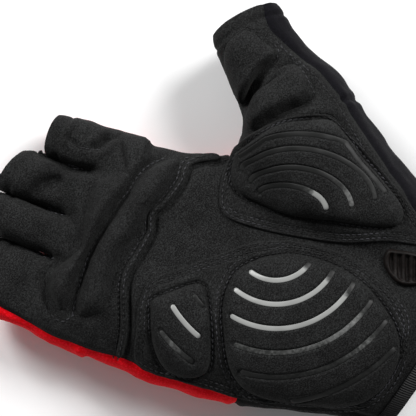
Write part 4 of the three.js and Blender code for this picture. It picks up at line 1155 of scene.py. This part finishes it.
# %% Foam rolls
ROLL_RISE = 4.6
ROLL_TAPER = 0.13
ROLL_END_WIDTH = 0.35
ROLL_SWELL = 0.75
ROLL_UNDER = 0.5
PUCKER_RISE = 0.22
PUCKER_COUNT = 9
PUCKER_DRIFT = 1.3
PUCKER_DRIFT_LENGTH = 17
SUNK_EDGE = 0.45
upper_roll = [
    # front x and y, back x and y in shares, share of the full rise
    (0.4, 0.225, 0.405, 0.182, 0.45),
    (0.35, 0.25, 0.36, 0.19, 0.8),
    (0.28, 0.274, 0.27, 0.195, 1),
    (0.18, 0.292, 0.155, 0.226, 1),
    (0.08, 0.308, 0.08, 0.228, 1),
    (-0.03, 0.324, -0.045, 0.256, 1),
    (-0.15, 0.33, -0.17, 0.252, 1),
    (-0.27, 0.333, -0.29, 0.245, 0.95),
    (-0.355, 0.33, -0.36, 0.275, 0.6),
]
lower_roll = [
    (0.27, 0.36, 0.28, 0.3, 0.6),
    (0.17, 0.392, 0.17, 0.305, 0.95),
    (0.05, 0.386, 0.055, 0.322, 0.9),
    (-0.08, 0.365, -0.065, 0.338, 0.6),
    (-0.18, 0.4, -0.17, 0.344, 0.95),
    (-0.28, 0.415, -0.28, 0.347, 1.0),
    (-0.36, 0.375, -0.365, 0.342, 0.6),
]


def spread_rows(table, count):
    """A table's rows made smooth and even: a curve through them, taken at equal steps."""
    rows = np.array(table, float)
    fine = curve_through(rows, spacing=0.002)
    return fine[np.linspace(0, len(fine) - 1, count).round().astype(int)]


def foam_roll(name, table, skew, stations=150, profile=64):
    """A soft loaf between two edges. The profile's cosine goes across it. The height is the sine of the
    share of the way across raised to a skew, which moves the crest towards the palm, and it falls off at
    both ends."""
    rows = spread_rows(table, stations)
    front, back, rise = shares(rows[:, :2]), shares(rows[:, 2:4]), rows[:, 4]
    angle = np.linspace(0, 2 * math.pi, profile, endpoint=False)
    middle, reach = (front + back) / 2, (front - back) / 2
    spot = np.arange(stations)
    to_end = np.clip(np.minimum(spot, stations - 1 - spot) / stations / ROLL_TAPER, 0, 1)
    taper = 1 - (1 - to_end) ** 2
    width = (ROLL_END_WIDTH + ROLL_SWELL * np.sqrt(taper))[:, None]
    plan = middle[:, None] + reach[:, None] * (np.cos(angle) * width)[..., None]
    lift = np.sin(angle)
    crest = np.sin(math.pi * (0.5 - 0.5 * np.cos(angle)) ** skew)
    drift = PUCKER_DRIFT * np.sin(spot / PUCKER_DRIFT_LENGTH)
    pucker = PUCKER_RISE * np.sin(spot / stations * 2 * math.pi * PUCKER_COUNT + drift)[:, None]
    height = (rise * taper * ROLL_RISE)[:, None] + SUNK_EDGE
    dome = np.where(lift > 0, crest * height, lift * ROLL_UNDER)
    dome = dome + pucker * np.clip(lift, 0, 1) * (1 - np.clip(lift, 0, 1)) * 4
    return add_closed(name, on_skin(plan[..., 0], plan[..., 1], dome - SUNK_EDGE))


pieces["upper_knuckle_roll"] = foam_roll("upper_foam_roll", upper_roll, skew=1.05)
pieces["lower_knuckle_roll"] = foam_roll("lower_foam_roll", lower_roll, skew=1.25)
print("rolls:", len(pieces["upper_knuckle_roll"].data.polygons), "faces each")

# %% [markdown]
# The thumb's two pads are softer than the gel: their height climbs as a power of a quarter round, without a
# step at the rim. The rubber tab near the wrist is a low swell with round ribs across it.

# %% Thumb pads and the grip tab
THUMB_PAD_RISE = 3.6
THUMB_PAD_EDGE = 7.5
THUMB_PAD_BASE = -0.9
THUMB_PAD_RINGS = 36
TAB_RISE = 1.8
TAB_CROWN = 0.3
TAB_EDGE = 1.2
TAB_RINGS = 40
TAB_RIB_PITCH = 3
TAB_RIB_DEPTH = 0.7
TAB_RIB_ROUND = 0.7
TAB_RIB_FADE = 0.8
TAB_TURN = math.radians(-20)


def thumb_pad_top(rim, x, y):
    """A soft swell from a sunk edge: a power of a quarter round."""
    climb = np.clip(inside_distance(rim, x, y) / THUMB_PAD_EDGE, 0, 1)
    return (THUMB_PAD_RISE + SUNK_EDGE) * (1 - (1 - climb) ** 2) ** 0.6 - SUNK_EDGE


def tab_top(x, y):
    """The rubber tab: a low swell with round ribs across it, kept off its rim."""
    gap = np.maximum(inside_distance(rims["tab"], x, y), 0)
    wave = np.cos(2 * math.pi * (x * math.sin(TAB_TURN) + y * math.cos(TAB_TURN)) / TAB_RIB_PITCH)
    rib = TAB_RIB_DEPTH * (np.abs(wave) ** TAB_RIB_ROUND * np.sign(wave) - 1)
    return (SEAM_GAP + swell(TAB_RISE + TAB_CROWN, TAB_EDGE, gap)
            + rib * np.clip((gap - TAB_EDGE) / TAB_RIB_FADE, 0, 1))


thumb_pad_places = {
    # node: rim, centre in shares of the thumb's width and reach
    "thumb_tip_pad": ("thumb_tip", (-0.12, 0.835)),
    "thumb_base_pad": ("thumb_base", (-0.05, 0.62)),
}
for node, (rim, centre) in thumb_pad_places.items():
    top = lambda x, y, rim=rims[rim]: thumb_pad_top(rim, x, y)
    pieces[node] = dish(node.replace("_pad", "_cushion"), rims[rim], on_thumb([centre])[0], top,
                        THUMB_PAD_BASE, THUMB_PAD_RINGS)
tab_centre = shares((0.3, -0.475))
pieces["grip_tab"] = dish("rubber_tab", rims["tab"], tab_centre, tab_top, SHEET_BASE, TAB_RINGS)
print("thumb pads and tab made")

# %% [markdown]
# The finger suede ends in a folded hem over the palm, held by two rows. It is a low lens-shaped ribbon
# beside the knuckle seam.

# %% Hem
HEM_WIDTH = 2.2
HEM_SETBACK = 0.2
HEM_LAP = 0.2
HEM_RISE = 1.35
HEM_STEP = 0.6
hem_line = curve_through(shares(knuckle_seam), spacing=HEM_STEP)
hem_middle = beside(hem_line, HEM_SETBACK + HEM_WIDTH / 2, closed=False)
pieces["knuckle_hem"], _ = ribbon("finger_hem", hem_middle, HEM_WIDTH / 2 + HEM_LAP, HEM_RISE,
                                  lambda x, y: np.zeros(x.shape), end_length=3, profile=28)
print("hem: %.0f mm long" % (HEM_STEP * len(hem_middle)))

# %% [markdown]
# A ribbed elastic tape is sewn round the wrist. Its cross-section is a rounded band, carried round the
# wrist's oval, with ribs that cross the band as the whipped edge of such tape does.

# %% Wrist binding
BINDING_THICKNESS = 1.6
RIB_PITCH = 0.95
RIB_HEIGHT = 0.16
RIB_FADE = 0.6
BINDING_SIDES = 1600
BINDING_PROFILE = 28
BINDING_FLOOR = 0.6
PLANE_ROUNDS = 8


def wrist_ring(past, grown):
    """Points round the wrist a given way past its line and grown out from the skin: the palm's section
    taken where each point's own line crosses the slanted plane."""
    angle = np.linspace(0, 2 * math.pi, BINDING_SIDES, endpoint=False)
    side, lift = np.cos(angle), np.sin(angle)
    power = 2 / SECTION_POWER
    turn = math.radians(WRIST_SLANT)
    along = np.full(angle.shape, WRIST_PLACE * PALM_LENGTH)
    for _ in range(PLANE_ROUNDS):
        middle, half, waist, up, down = section_of(palm, along)
        across = middle + (half + grown) * np.sign(side) * np.abs(side) ** power
        along = WRIST_PLACE * PALM_LENGTH - (math.sin(turn) * across + past) / math.cos(turn)
    height = waist + (np.where(lift > 0, up, down) + grown) * np.sign(lift) * np.abs(lift) ** power
    height = height + fold_rise(across, along) * np.clip(lift, 0, 1)
    return np.stack([across, along, np.maximum(height, BINDING_FLOOR)], axis=1)


def wrist_binding():
    """The band's rounded profile, ringed by ribs: a ripple of the outer face with the angle."""
    turns = np.linspace(0, 2 * math.pi, BINDING_PROFILE, endpoint=False)
    shape = lambda v, power: np.sign(v) * np.abs(v) ** power
    places = SEAM_GAP + (BINDING_WIDTH - SEAM_GAP) * (0.5 - 0.5 * shape(np.cos(turns), 0.7))
    rises = SEAM_GAP + BINDING_THICKNESS * (0.5 + 0.5 * shape(np.sin(turns), 0.5))
    rings = np.stack([wrist_ring(place, rise) for place, rise in zip(places, rises)])
    around = np.concatenate([[0], np.cumsum(np.linalg.norm(np.diff(rings[0], axis=0), axis=1))])
    count = round(around[-1] / RIB_PITCH)
    ripple = np.cos(2 * math.pi * count * around / around[-1])
    outward = unit(rings[rises.argmax()] - rings[rises.argmin()])
    strength = np.clip((rises - SEAM_GAP - RIB_FADE) / RIB_FADE, 0, 1)[:, None, None]
    return rings + outward * RIB_HEIGHT * strength * ripple[None, :, None]


rings = wrist_binding()
faces = grid_faces(len(rings), BINDING_SIDES)
last = (len(rings) - 1) * BINDING_SIDES
j = np.arange(BINDING_SIDES)
k = (j + 1) % BINDING_SIDES
closing = np.stack([last + j, last + k, k, j], axis=1)
pieces["wrist_binding"] = turned_out(add_mesh("wrist_elastic", rings.reshape(-1, 3), faces, closing))
print("binding:", len(pieces["wrist_binding"].data.polygons), "faces")

# %% [markdown]
# Each stitch is a tiny bead of thread, a stretched ball of a few dozen faces, turned along its row and
# partly sunk into its channel. All rows are worked out as arrays and joined into one mesh.

# %% Stitches
PITCH = 2.2
STITCH_HALF = 0.78
STITCH_THICK = 0.26
STITCH_END = 0.92
ABOVE_WAIST = 1.5
PAD_THREAD_LIFT = 0.1
SKIN_THREAD_LIFT = 0.12
HEM_THREAD_LIFT = 0.15
HEM_ROW_PLACES = (1.3, 3.4)
hem_rows = [beside(hem_line, distance, closed=False) for distance in HEM_ROW_PLACES]
skin_rows = [curve_through(points) for points in (
    creases["knuckle_fold"][0],
    [(20.0, 57.7), (14.2, 56.8), (8.6, 55.2), (5.1, 54.7)],
    [(28.6, 69.0), (28.5, 65.7), (29.1, 61.8), (30.0, 59.3)],
    [(-34.3, 57.2), (-36.9, 52.9), (-37.2, 49.2), (-33.7, 46.3)],
    [(97.0, 17.6), (90.6, 5.5), (87.5, -3.5), (83.5, -11.8), (78.5, -19.8), (71.5, -28.6), (63.5, -38.6),
     (56, -50)],
    [(67, -29), (64.5, -34), (60, -41), (55.5, -47.5), (51, -53.5)],
)]
pad_rows = [curve_through(points) for points in (
    [(90, 23.4), (93.4, 21.3), (93.5, 17.7), (90.2, 7.8), (86.9, 6.2)],
    [(88.1, 0.5), (85.2, -4.8), (81.8, -8.3), (78.7, -11.6)],
)]


def thumb_pads(x, y):
    """How high the thumb's pads stand over the skin, with a little more for the thread."""
    tops = [thumb_pad_top(rims[name], x, y) for name in ("thumb_tip", "thumb_base")]
    return np.maximum.reduce([*tops, np.zeros(x.shape)]) + PAD_THREAD_LIFT


def beads(row, height, pitch=PITCH, closed=False):
    """Centres, ways and heights of the stitches along a row."""
    path = curve_through(row, closed=closed, spacing=pitch)
    way = unit(np.roll(path, -1, 0) - np.roll(path, 1, 0) if closed else np.gradient(path, axis=0))
    found = np.hstack([path, way, height(path[:, 0], path[:, 1])[:, None]])
    return found[read_map(*path.T)[:, 2] > PALM_DEPTH * WAIST_SHARE + ABOVE_WAIST]


def thread(stitches, rings=5, sides=6):
    """Stretched balls: rings of points round each stitch's own line, turned by its way and the skin's
    normal."""
    x, y, way_x, way_y, height = stitches.T
    here = read_map(x, y)
    centre = here[:, :3] + here[:, 3:6] * height[:, None]
    up = here[:, 6:]
    along = np.stack([way_x, way_y, np.zeros(len(x))], axis=1)
    along = unit(along - up * np.sum(along * up, axis=1, keepdims=True))
    over = np.cross(along, up)
    tip = np.linspace(-STITCH_END, STITCH_END, rings)
    around = np.linspace(0, 2 * math.pi, sides, endpoint=False)
    girth = np.sqrt(1 - tip**2)[:, None] * STITCH_THICK
    local = np.stack([np.repeat(tip[:, None], sides, 1) * STITCH_HALF,
                      girth * np.cos(around), girth * np.sin(around)], axis=-1).reshape(-1, 3)
    local = np.vstack([local, (-STITCH_HALF, 0, 0), (STITCH_HALF, 0, 0)])
    frames = np.stack([along, over, up], axis=1)
    points = centre[:, None] + np.einsum("pi,nij->npj", local, frames)
    j = np.arange(sides)
    k = (j + 1) % sides
    quads = grid_faces(rings, sides)
    caps = np.concatenate([np.stack([np.full(sides, rings * sides), j, k], 1),
                           np.stack([np.full(sides, rings * sides + 1), (rings - 1) * sides + k,
                                     (rings - 1) * sides + j], 1)])
    shift = (np.arange(len(x)) * len(local))[:, None, None]
    return points.reshape(-1, 3), (quads[:, ::-1] + shift).reshape(-1, 4), (caps + shift).reshape(-1, 3)


all_beads = [beads(row, lambda x, y, name=name: patch_top(name, x, y) + PAD_THREAD_LIFT, closed=True)
             for name, (rows, _) in patch_details.items() for row in rows]
all_beads += [beads(hem_rows[0], lambda x, y: np.full(x.shape, HEM_RISE + HEM_THREAD_LIFT)),
              beads(hem_rows[1], lambda x, y: np.full(x.shape, HEM_THREAD_LIFT))]
all_beads += [beads(row, lambda x, y: np.full(x.shape, SKIN_THREAD_LIFT)) for row in skin_rows]
all_beads += [beads(row, thumb_pads) for row in pad_rows]
stitches = add_mesh("stitches", *thread(np.vstack(all_beads)))
print("stitches: %d, %d faces" % (sum(len(b) for b in all_beads), len(stitches.data.polygons)))


# %% [markdown]
# Every finish starts from what the real one is. Colours are written as hex values and turned to linear
# once, and one small function adds a node with its inputs.

# %% Helpers for materials
def linear(code):
    """A hex colour's three channels from sRGB to linear, with full opacity."""
    shades = [int(code[i:i + 2], 16) / 255 for i in (0, 2, 4)]
    return (*[shade / 12.92 if shade <= 0.04045 else ((shade + 0.055) / 1.055) ** 2.4 for shade in shades], 1)


def add(tree, kind, inputs=(), **settings):
    """Adds a node, sets its settings, and fills its inputs with numbers or links."""
    made = tree.nodes.new(kind)
    for name, value in settings.items():
        setattr(made, name, value)
    for socket, value in dict(inputs).items():
        if isinstance(value, bpy.types.NodeSocket):
            tree.links.new(value, made.inputs[socket])
        else:
            made.inputs[socket].default_value = value
    return made


def new_material(name):
    """An empty material with its output node."""
    material = bpy.data.materials.new(name)
    material.use_nodes = True
    tree = material.node_tree
    tree.nodes.clear()
    return material, tree, add(tree, "ShaderNodeOutputMaterial")


def ramp(tree, factor, stops):
    """A colour ramp with stops of place and hex colour."""
    made = add(tree, "ShaderNodeValToRGB", {"Fac": factor})
    elements = made.color_ramp.elements
    while len(elements) < len(stops):
        elements.new(0.5)
    for element, (place, code) in zip(elements, stops):
        element.position = place
        element.color = linear(code)
    return made.outputs["Color"]


def per_mm(size):
    """The scale of a pattern whose features are about this many millimetres, on coordinates in metres."""
    return 1000 / size


# %% [markdown]
# Synthetic suede is a mat of very fine fibres, sanded to a nap. To the eye it is nearly black, without
# gloss, with light and dark flecks where the nap lies one way or the other, and a pale bloom at grazing
# angles. The flecks are drawn about half a millimetre wide, a little coarser than real, so that they show.

# %% Suede
FLECK_SIZE = 0.5
NAP_SIZE = 12
NAP_SHARE = 0.15
LUMP_SIZE = 2.5


def suede(name, dark, middle, light, sheen):
    """Napped suede: a colour ramp over fine flecks and a slow nap, with fuzz, small lumps and a sheen."""
    material, tree, output = new_material(name)
    place = add(tree, "ShaderNodeTexCoord").outputs["Object"]
    fleck = add(tree, "ShaderNodeTexNoise",
                {"Vector": place, "Scale": per_mm(FLECK_SIZE), "Detail": 2.0, "Roughness": 0.6})
    nap = add(tree, "ShaderNodeTexNoise",
              {"Vector": place, "Scale": per_mm(NAP_SIZE), "Detail": 3.0, "Roughness": 0.6})
    mixed = add(tree, "ShaderNodeMath", {0: fleck.outputs["Fac"], 1: 1 - NAP_SHARE}, operation="MULTIPLY")
    both = add(tree, "ShaderNodeMath", {0: nap.outputs["Fac"], 1: NAP_SHARE, 2: mixed.outputs[0]},
               operation="MULTIPLY_ADD")
    tone = ramp(tree, both.outputs[0], [(0.37, dark), (0.5, middle), (0.64, light)])
    fibre = add(tree, "ShaderNodeTexNoise", {"Vector": place, "Scale": per_mm(FLECK_SIZE), "Detail": 1.0})
    fuzz = add(tree, "ShaderNodeBump", {"Height": fibre.outputs["Fac"], "Distance": 0.0002, "Strength": 0.8})
    lumps = add(tree, "ShaderNodeTexNoise", {"Vector": place, "Scale": per_mm(LUMP_SIZE), "Detail": 2.0})
    bump = add(tree, "ShaderNodeBump", {"Height": lumps.outputs["Fac"], "Distance": 0.0003, "Strength": 0.3,
                                        "Normal": fuzz.outputs[0]})
    shader = add(tree, "ShaderNodeBsdfPrincipled", {
        "Base Color": tone, "Roughness": 0.95, "Specular IOR Level": 0.1, "Sheen Weight": sheen,
        "Sheen Roughness": 0.5, "Sheen Tint": linear("8c8e8a"), "Normal": bump.outputs[0]})
    tree.links.new(shader.outputs[0], output.inputs["Surface"])
    return material


black_suede = suede("black_synthetic_suede", "0d0d0d", "1c1c1c", "2d2e2e", sheen=0.05)
print("made", black_suede.name)


# %% [markdown]
# The back is a red warp knit. Its loops are about 0.9 mm apart, which gives a fine grain and a soft,
# saturated red. The cuff is the same cloth in black, the thumb's side a finer one, and the mesh between the
# fingers a coarser one.

# %% Knit and elastane
def knit(name, dark, light, pitch=0.9, sheen=0.03):
    """A knit: cells a pitch apart, light and raised in the middle of each and dark between them."""
    material, tree, output = new_material(name)
    place = add(tree, "ShaderNodeTexCoord").outputs["Object"]
    loops = add(tree, "ShaderNodeTexVoronoi", {"Vector": place, "Scale": per_mm(pitch)})
    tone = ramp(tree, loops.outputs["Distance"], [(0.0, light), (0.6, dark)])
    bump = add(tree, "ShaderNodeBump",
               {"Height": loops.outputs["Distance"], "Distance": 0.0002, "Strength": 0.5}, invert=True)
    shader = add(tree, "ShaderNodeBsdfPrincipled", {
        "Base Color": tone, "Roughness": 0.8, "Specular IOR Level": 0.08, "Sheen Weight": sheen,
        "Sheen Roughness": 0.4, "Normal": bump.outputs[0]})
    tree.links.new(shader.outputs[0], output.inputs["Surface"])
    return material


red_knit = knit("red_stretch_knit", "e2040f", "ff1a32")
black_knit = knit("black_cuff_cloth", "080808", "131313")
navy_stretch = knit("navy_black_elastane", "08080b", "15131a", pitch=0.5)
mesh_cloth = knit("dark_grey_mesh", "0c0c0d", "77777c", pitch=1.3)
print("made the knits")


# %% [markdown]
# The print is silicone ink filled with silver flake: a slightly soft surface with a shine, silver-grey
# where it is whole. Where it has worn off, a duller dark film stays, which shows only as a thin highlight.
# The stored amount also carries painted light: painted shade, darker print where the pad curves down to
# its rim, and painted glints, brighter print in a few patches.

# %% Silver print
def silver_print():
    """The print: the stored amount, real wear together with painted shade and painted glints, plus a
    patchy noise, sets the colour, and less of it is duller."""
    material, tree, output = new_material("silver_print_with_painted_light")
    # The amount read here is partly real wear and partly painted shade and painted glints.
    left = add(tree, "ShaderNodeAttribute", attribute_name="silver").outputs["Fac"]
    place = add(tree, "ShaderNodeTexCoord").outputs["Object"]
    wear = add(tree, "ShaderNodeTexNoise", {"Vector": place, "Scale": per_mm(1.2), "Detail": 4.0})
    patchy = add(tree, "ShaderNodeMath", {0: wear.outputs["Fac"], 1: 0.5}, operation="SUBTRACT")
    scaled = add(tree, "ShaderNodeMath", {0: patchy.outputs[0], 1: 0.5, 2: left}, operation="MULTIPLY_ADD")
    tone = ramp(tree, scaled.outputs[0],
                [(0.2, "0e0f0e"), (0.42, "2c2d2c"), (0.66, "666766"), (0.9, "929391")])
    rough = add(tree, "ShaderNodeMapRange", {"Value": left, "To Min": 0.6, "To Max": 0.35})
    shader = add(tree, "ShaderNodeBsdfPrincipled", {
        "Base Color": tone, "Roughness": rough.outputs[0], "Specular IOR Level": 0.35})
    tree.links.new(shader.outputs[0], output.inputs["Surface"])
    return material


silver = silver_print()


# %% [markdown]
# Elastic tape, thread and rubber are plain dark finishes: the tape is dull with a faint shine, the thread
# is slightly glossier polyester, and the moulded tab is brownish-black rubber with a soft shine on its
# ribs. The floor's matt white is made in the same way. The thread's lighter stretches, some 14 mm long,
# are partly a random tone and partly painted glints.

# %% Elastic, thread and rubber
def plain(name, dark, light, size, roughness, level, bump_height):
    """A plain finish: two near colours and a low bump, both from one noise of the given size in
    millimetres."""
    material, tree, output = new_material(name)
    place = add(tree, "ShaderNodeTexCoord").outputs["Object"]
    grain = add(tree, "ShaderNodeTexNoise", {"Vector": place, "Scale": per_mm(size), "Detail": 3.0})
    tone = ramp(tree, grain.outputs["Fac"], [(0.45, dark), (0.68, light)])
    bump = add(tree, "ShaderNodeBump",
               {"Height": grain.outputs["Fac"], "Distance": bump_height, "Strength": 0.6})
    shader = add(tree, "ShaderNodeBsdfPrincipled", {
        "Base Color": tone, "Roughness": roughness, "Specular IOR Level": level, "Normal": bump.outputs[0]})
    tree.links.new(shader.outputs[0], output.inputs["Surface"])
    return material


black_elastic = plain("black_ribbed_elastic", "080808", "181819", 0.5, 0.6, 0.3, 0.0001)
# The thread's lighter stretches over about 14 mm are partly a random tone and partly painted glints.
thread_with_painted_glints = plain("polyester_thread_with_painted_glints", "030303", "3b3b3f", 14, 0.5, 0.3, 0.00005)
brown_rubber = plain("brownish_black_rubber", "0b0807", "1a1412", 0.8, 0.6, 0.15, 0.00006)
floor_paint = plain("matt_white_floor", "fafafa", "fcfcfc", 40, 0.9, 0.1, 0.00001)
print("made the plain finishes")

# %% [markdown]
# Each piece takes its finish, hides the model node it stands for, and rides on the glove's one body.

# %% Finishes and places
finish = {
    # node: its material and its slot, where these aren't the suede's
    "back_panel": (red_knit, "knit"),
    "cuff_panel": (black_knit, "suede"),
    "side_panel": (navy_stretch, "stretch"),
    "wrist_binding": (black_elastic, "elastic"),
    "grip_tab": (brown_rubber, "rubber"),
}
for node, piece in pieces.items():
    if "stripe" in node:
        material, slot = silver, "print"
    elif node.startswith("gusset"):
        material, slot = mesh_cloth, "mesh"
    else:
        material, slot = finish.get(node, (black_suede, "suede"))
    piece.data.materials.append(material)
    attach(piece, "root")
    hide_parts(node)
stitches.data.materials.append(thread_with_painted_glints)
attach(stitches, "root")
fills = {
    "thenar_gel_pad": 0.9, "heel_gel_pad": 0.9, "edge_gel_pad": 0.9, "upper_knuckle_roll": 0.7,
    "lower_knuckle_roll": 0.6, "thumb_tip_pad": 0.7, "thumb_base_pad": 0.7,
}
for node, fill in fills.items():
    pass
print(len(pieces), "pieces stand for", len(frame["nodes"]), "nodes")

# %% [markdown]
# The photograph looks straight down on the glove, turned so that the fingers point to the upper left. The
# camera hangs over the same spot with a long lens, and the frame is as wide as the photograph's.

# %% Camera
FRAME_WIDTH = 160.2
CAMERA_HEIGHT = 1200
SUBJECT_HEIGHT = 30
LOOK_AT = (23.3, 11.35)
VIEW_TURN = -70
camera_data = bpy.data.cameras.new("camera")
camera_data.lens = camera_data.sensor_width * (CAMERA_HEIGHT - SUBJECT_HEIGHT) / FRAME_WIDTH
camera_data.clip_end = 20
camera = bpy.data.objects.new("camera", camera_data)
camera.location = placed([(*LOOK_AT, CAMERA_HEIGHT)])[0]
camera.rotation_euler = (0, 0, math.radians(VIEW_TURN))
bpy.context.scene.collection.objects.link(camera)
bpy.context.scene.camera = camera
print("lens: %.0f mm" % camera_data.lens)

# %% [markdown]
# The glove lies on a matt white floor. Two square lamps stand above it, one to the upper right of the
# picture and one to its upper left, and a faint even light from all round fills the shadows.

# %% Floor and light
FLOOR_SIZE = 3.0
FLOOR_DROP = 0.0002
WORLD_STRENGTH = 0.22
bpy.ops.mesh.primitive_plane_add(size=FLOOR_SIZE, location=(0, 0, -FLOOR_DROP))
floor = bpy.context.object
floor.name = "floor"
floor.data.materials.append(floor_paint)


def area_light(name, across, up, height, size, power):
    """A square lamp placed by where the photograph has its light: across to the picture's right and up
    to its top, aimed at the glove."""
    data = bpy.data.lights.new(name, "AREA")
    data.size = size
    data.energy = power
    lamp = bpy.data.objects.new(name, data)
    turn = math.radians(VIEW_TURN)
    right, top = Vector((math.cos(turn), math.sin(turn), 0)), Vector((-math.sin(turn), math.cos(turn), 0))
    lamp.location = right * across + top * up + Vector((0, 0, height))
    lamp.rotation_euler = lamp.location.to_track_quat("Z", "Y").to_euler()
    bpy.context.scene.collection.objects.link(lamp)
    return lamp


area_light("right_light", 0.75, 0.75, 0.9, 0.5, 19)
area_light("left_light", -0.95, 0.95, 0.75, 0.45, 20)
world = bpy.data.worlds.new("studio")
world.use_nodes = True
world.node_tree.nodes["Background"].inputs["Color"].default_value = linear("f8f9fa")
world.node_tree.nodes["Background"].inputs["Strength"].default_value = WORLD_STRENGTH
bpy.context.scene.world = world
bpy.context.scene.view_settings.view_transform = "Standard"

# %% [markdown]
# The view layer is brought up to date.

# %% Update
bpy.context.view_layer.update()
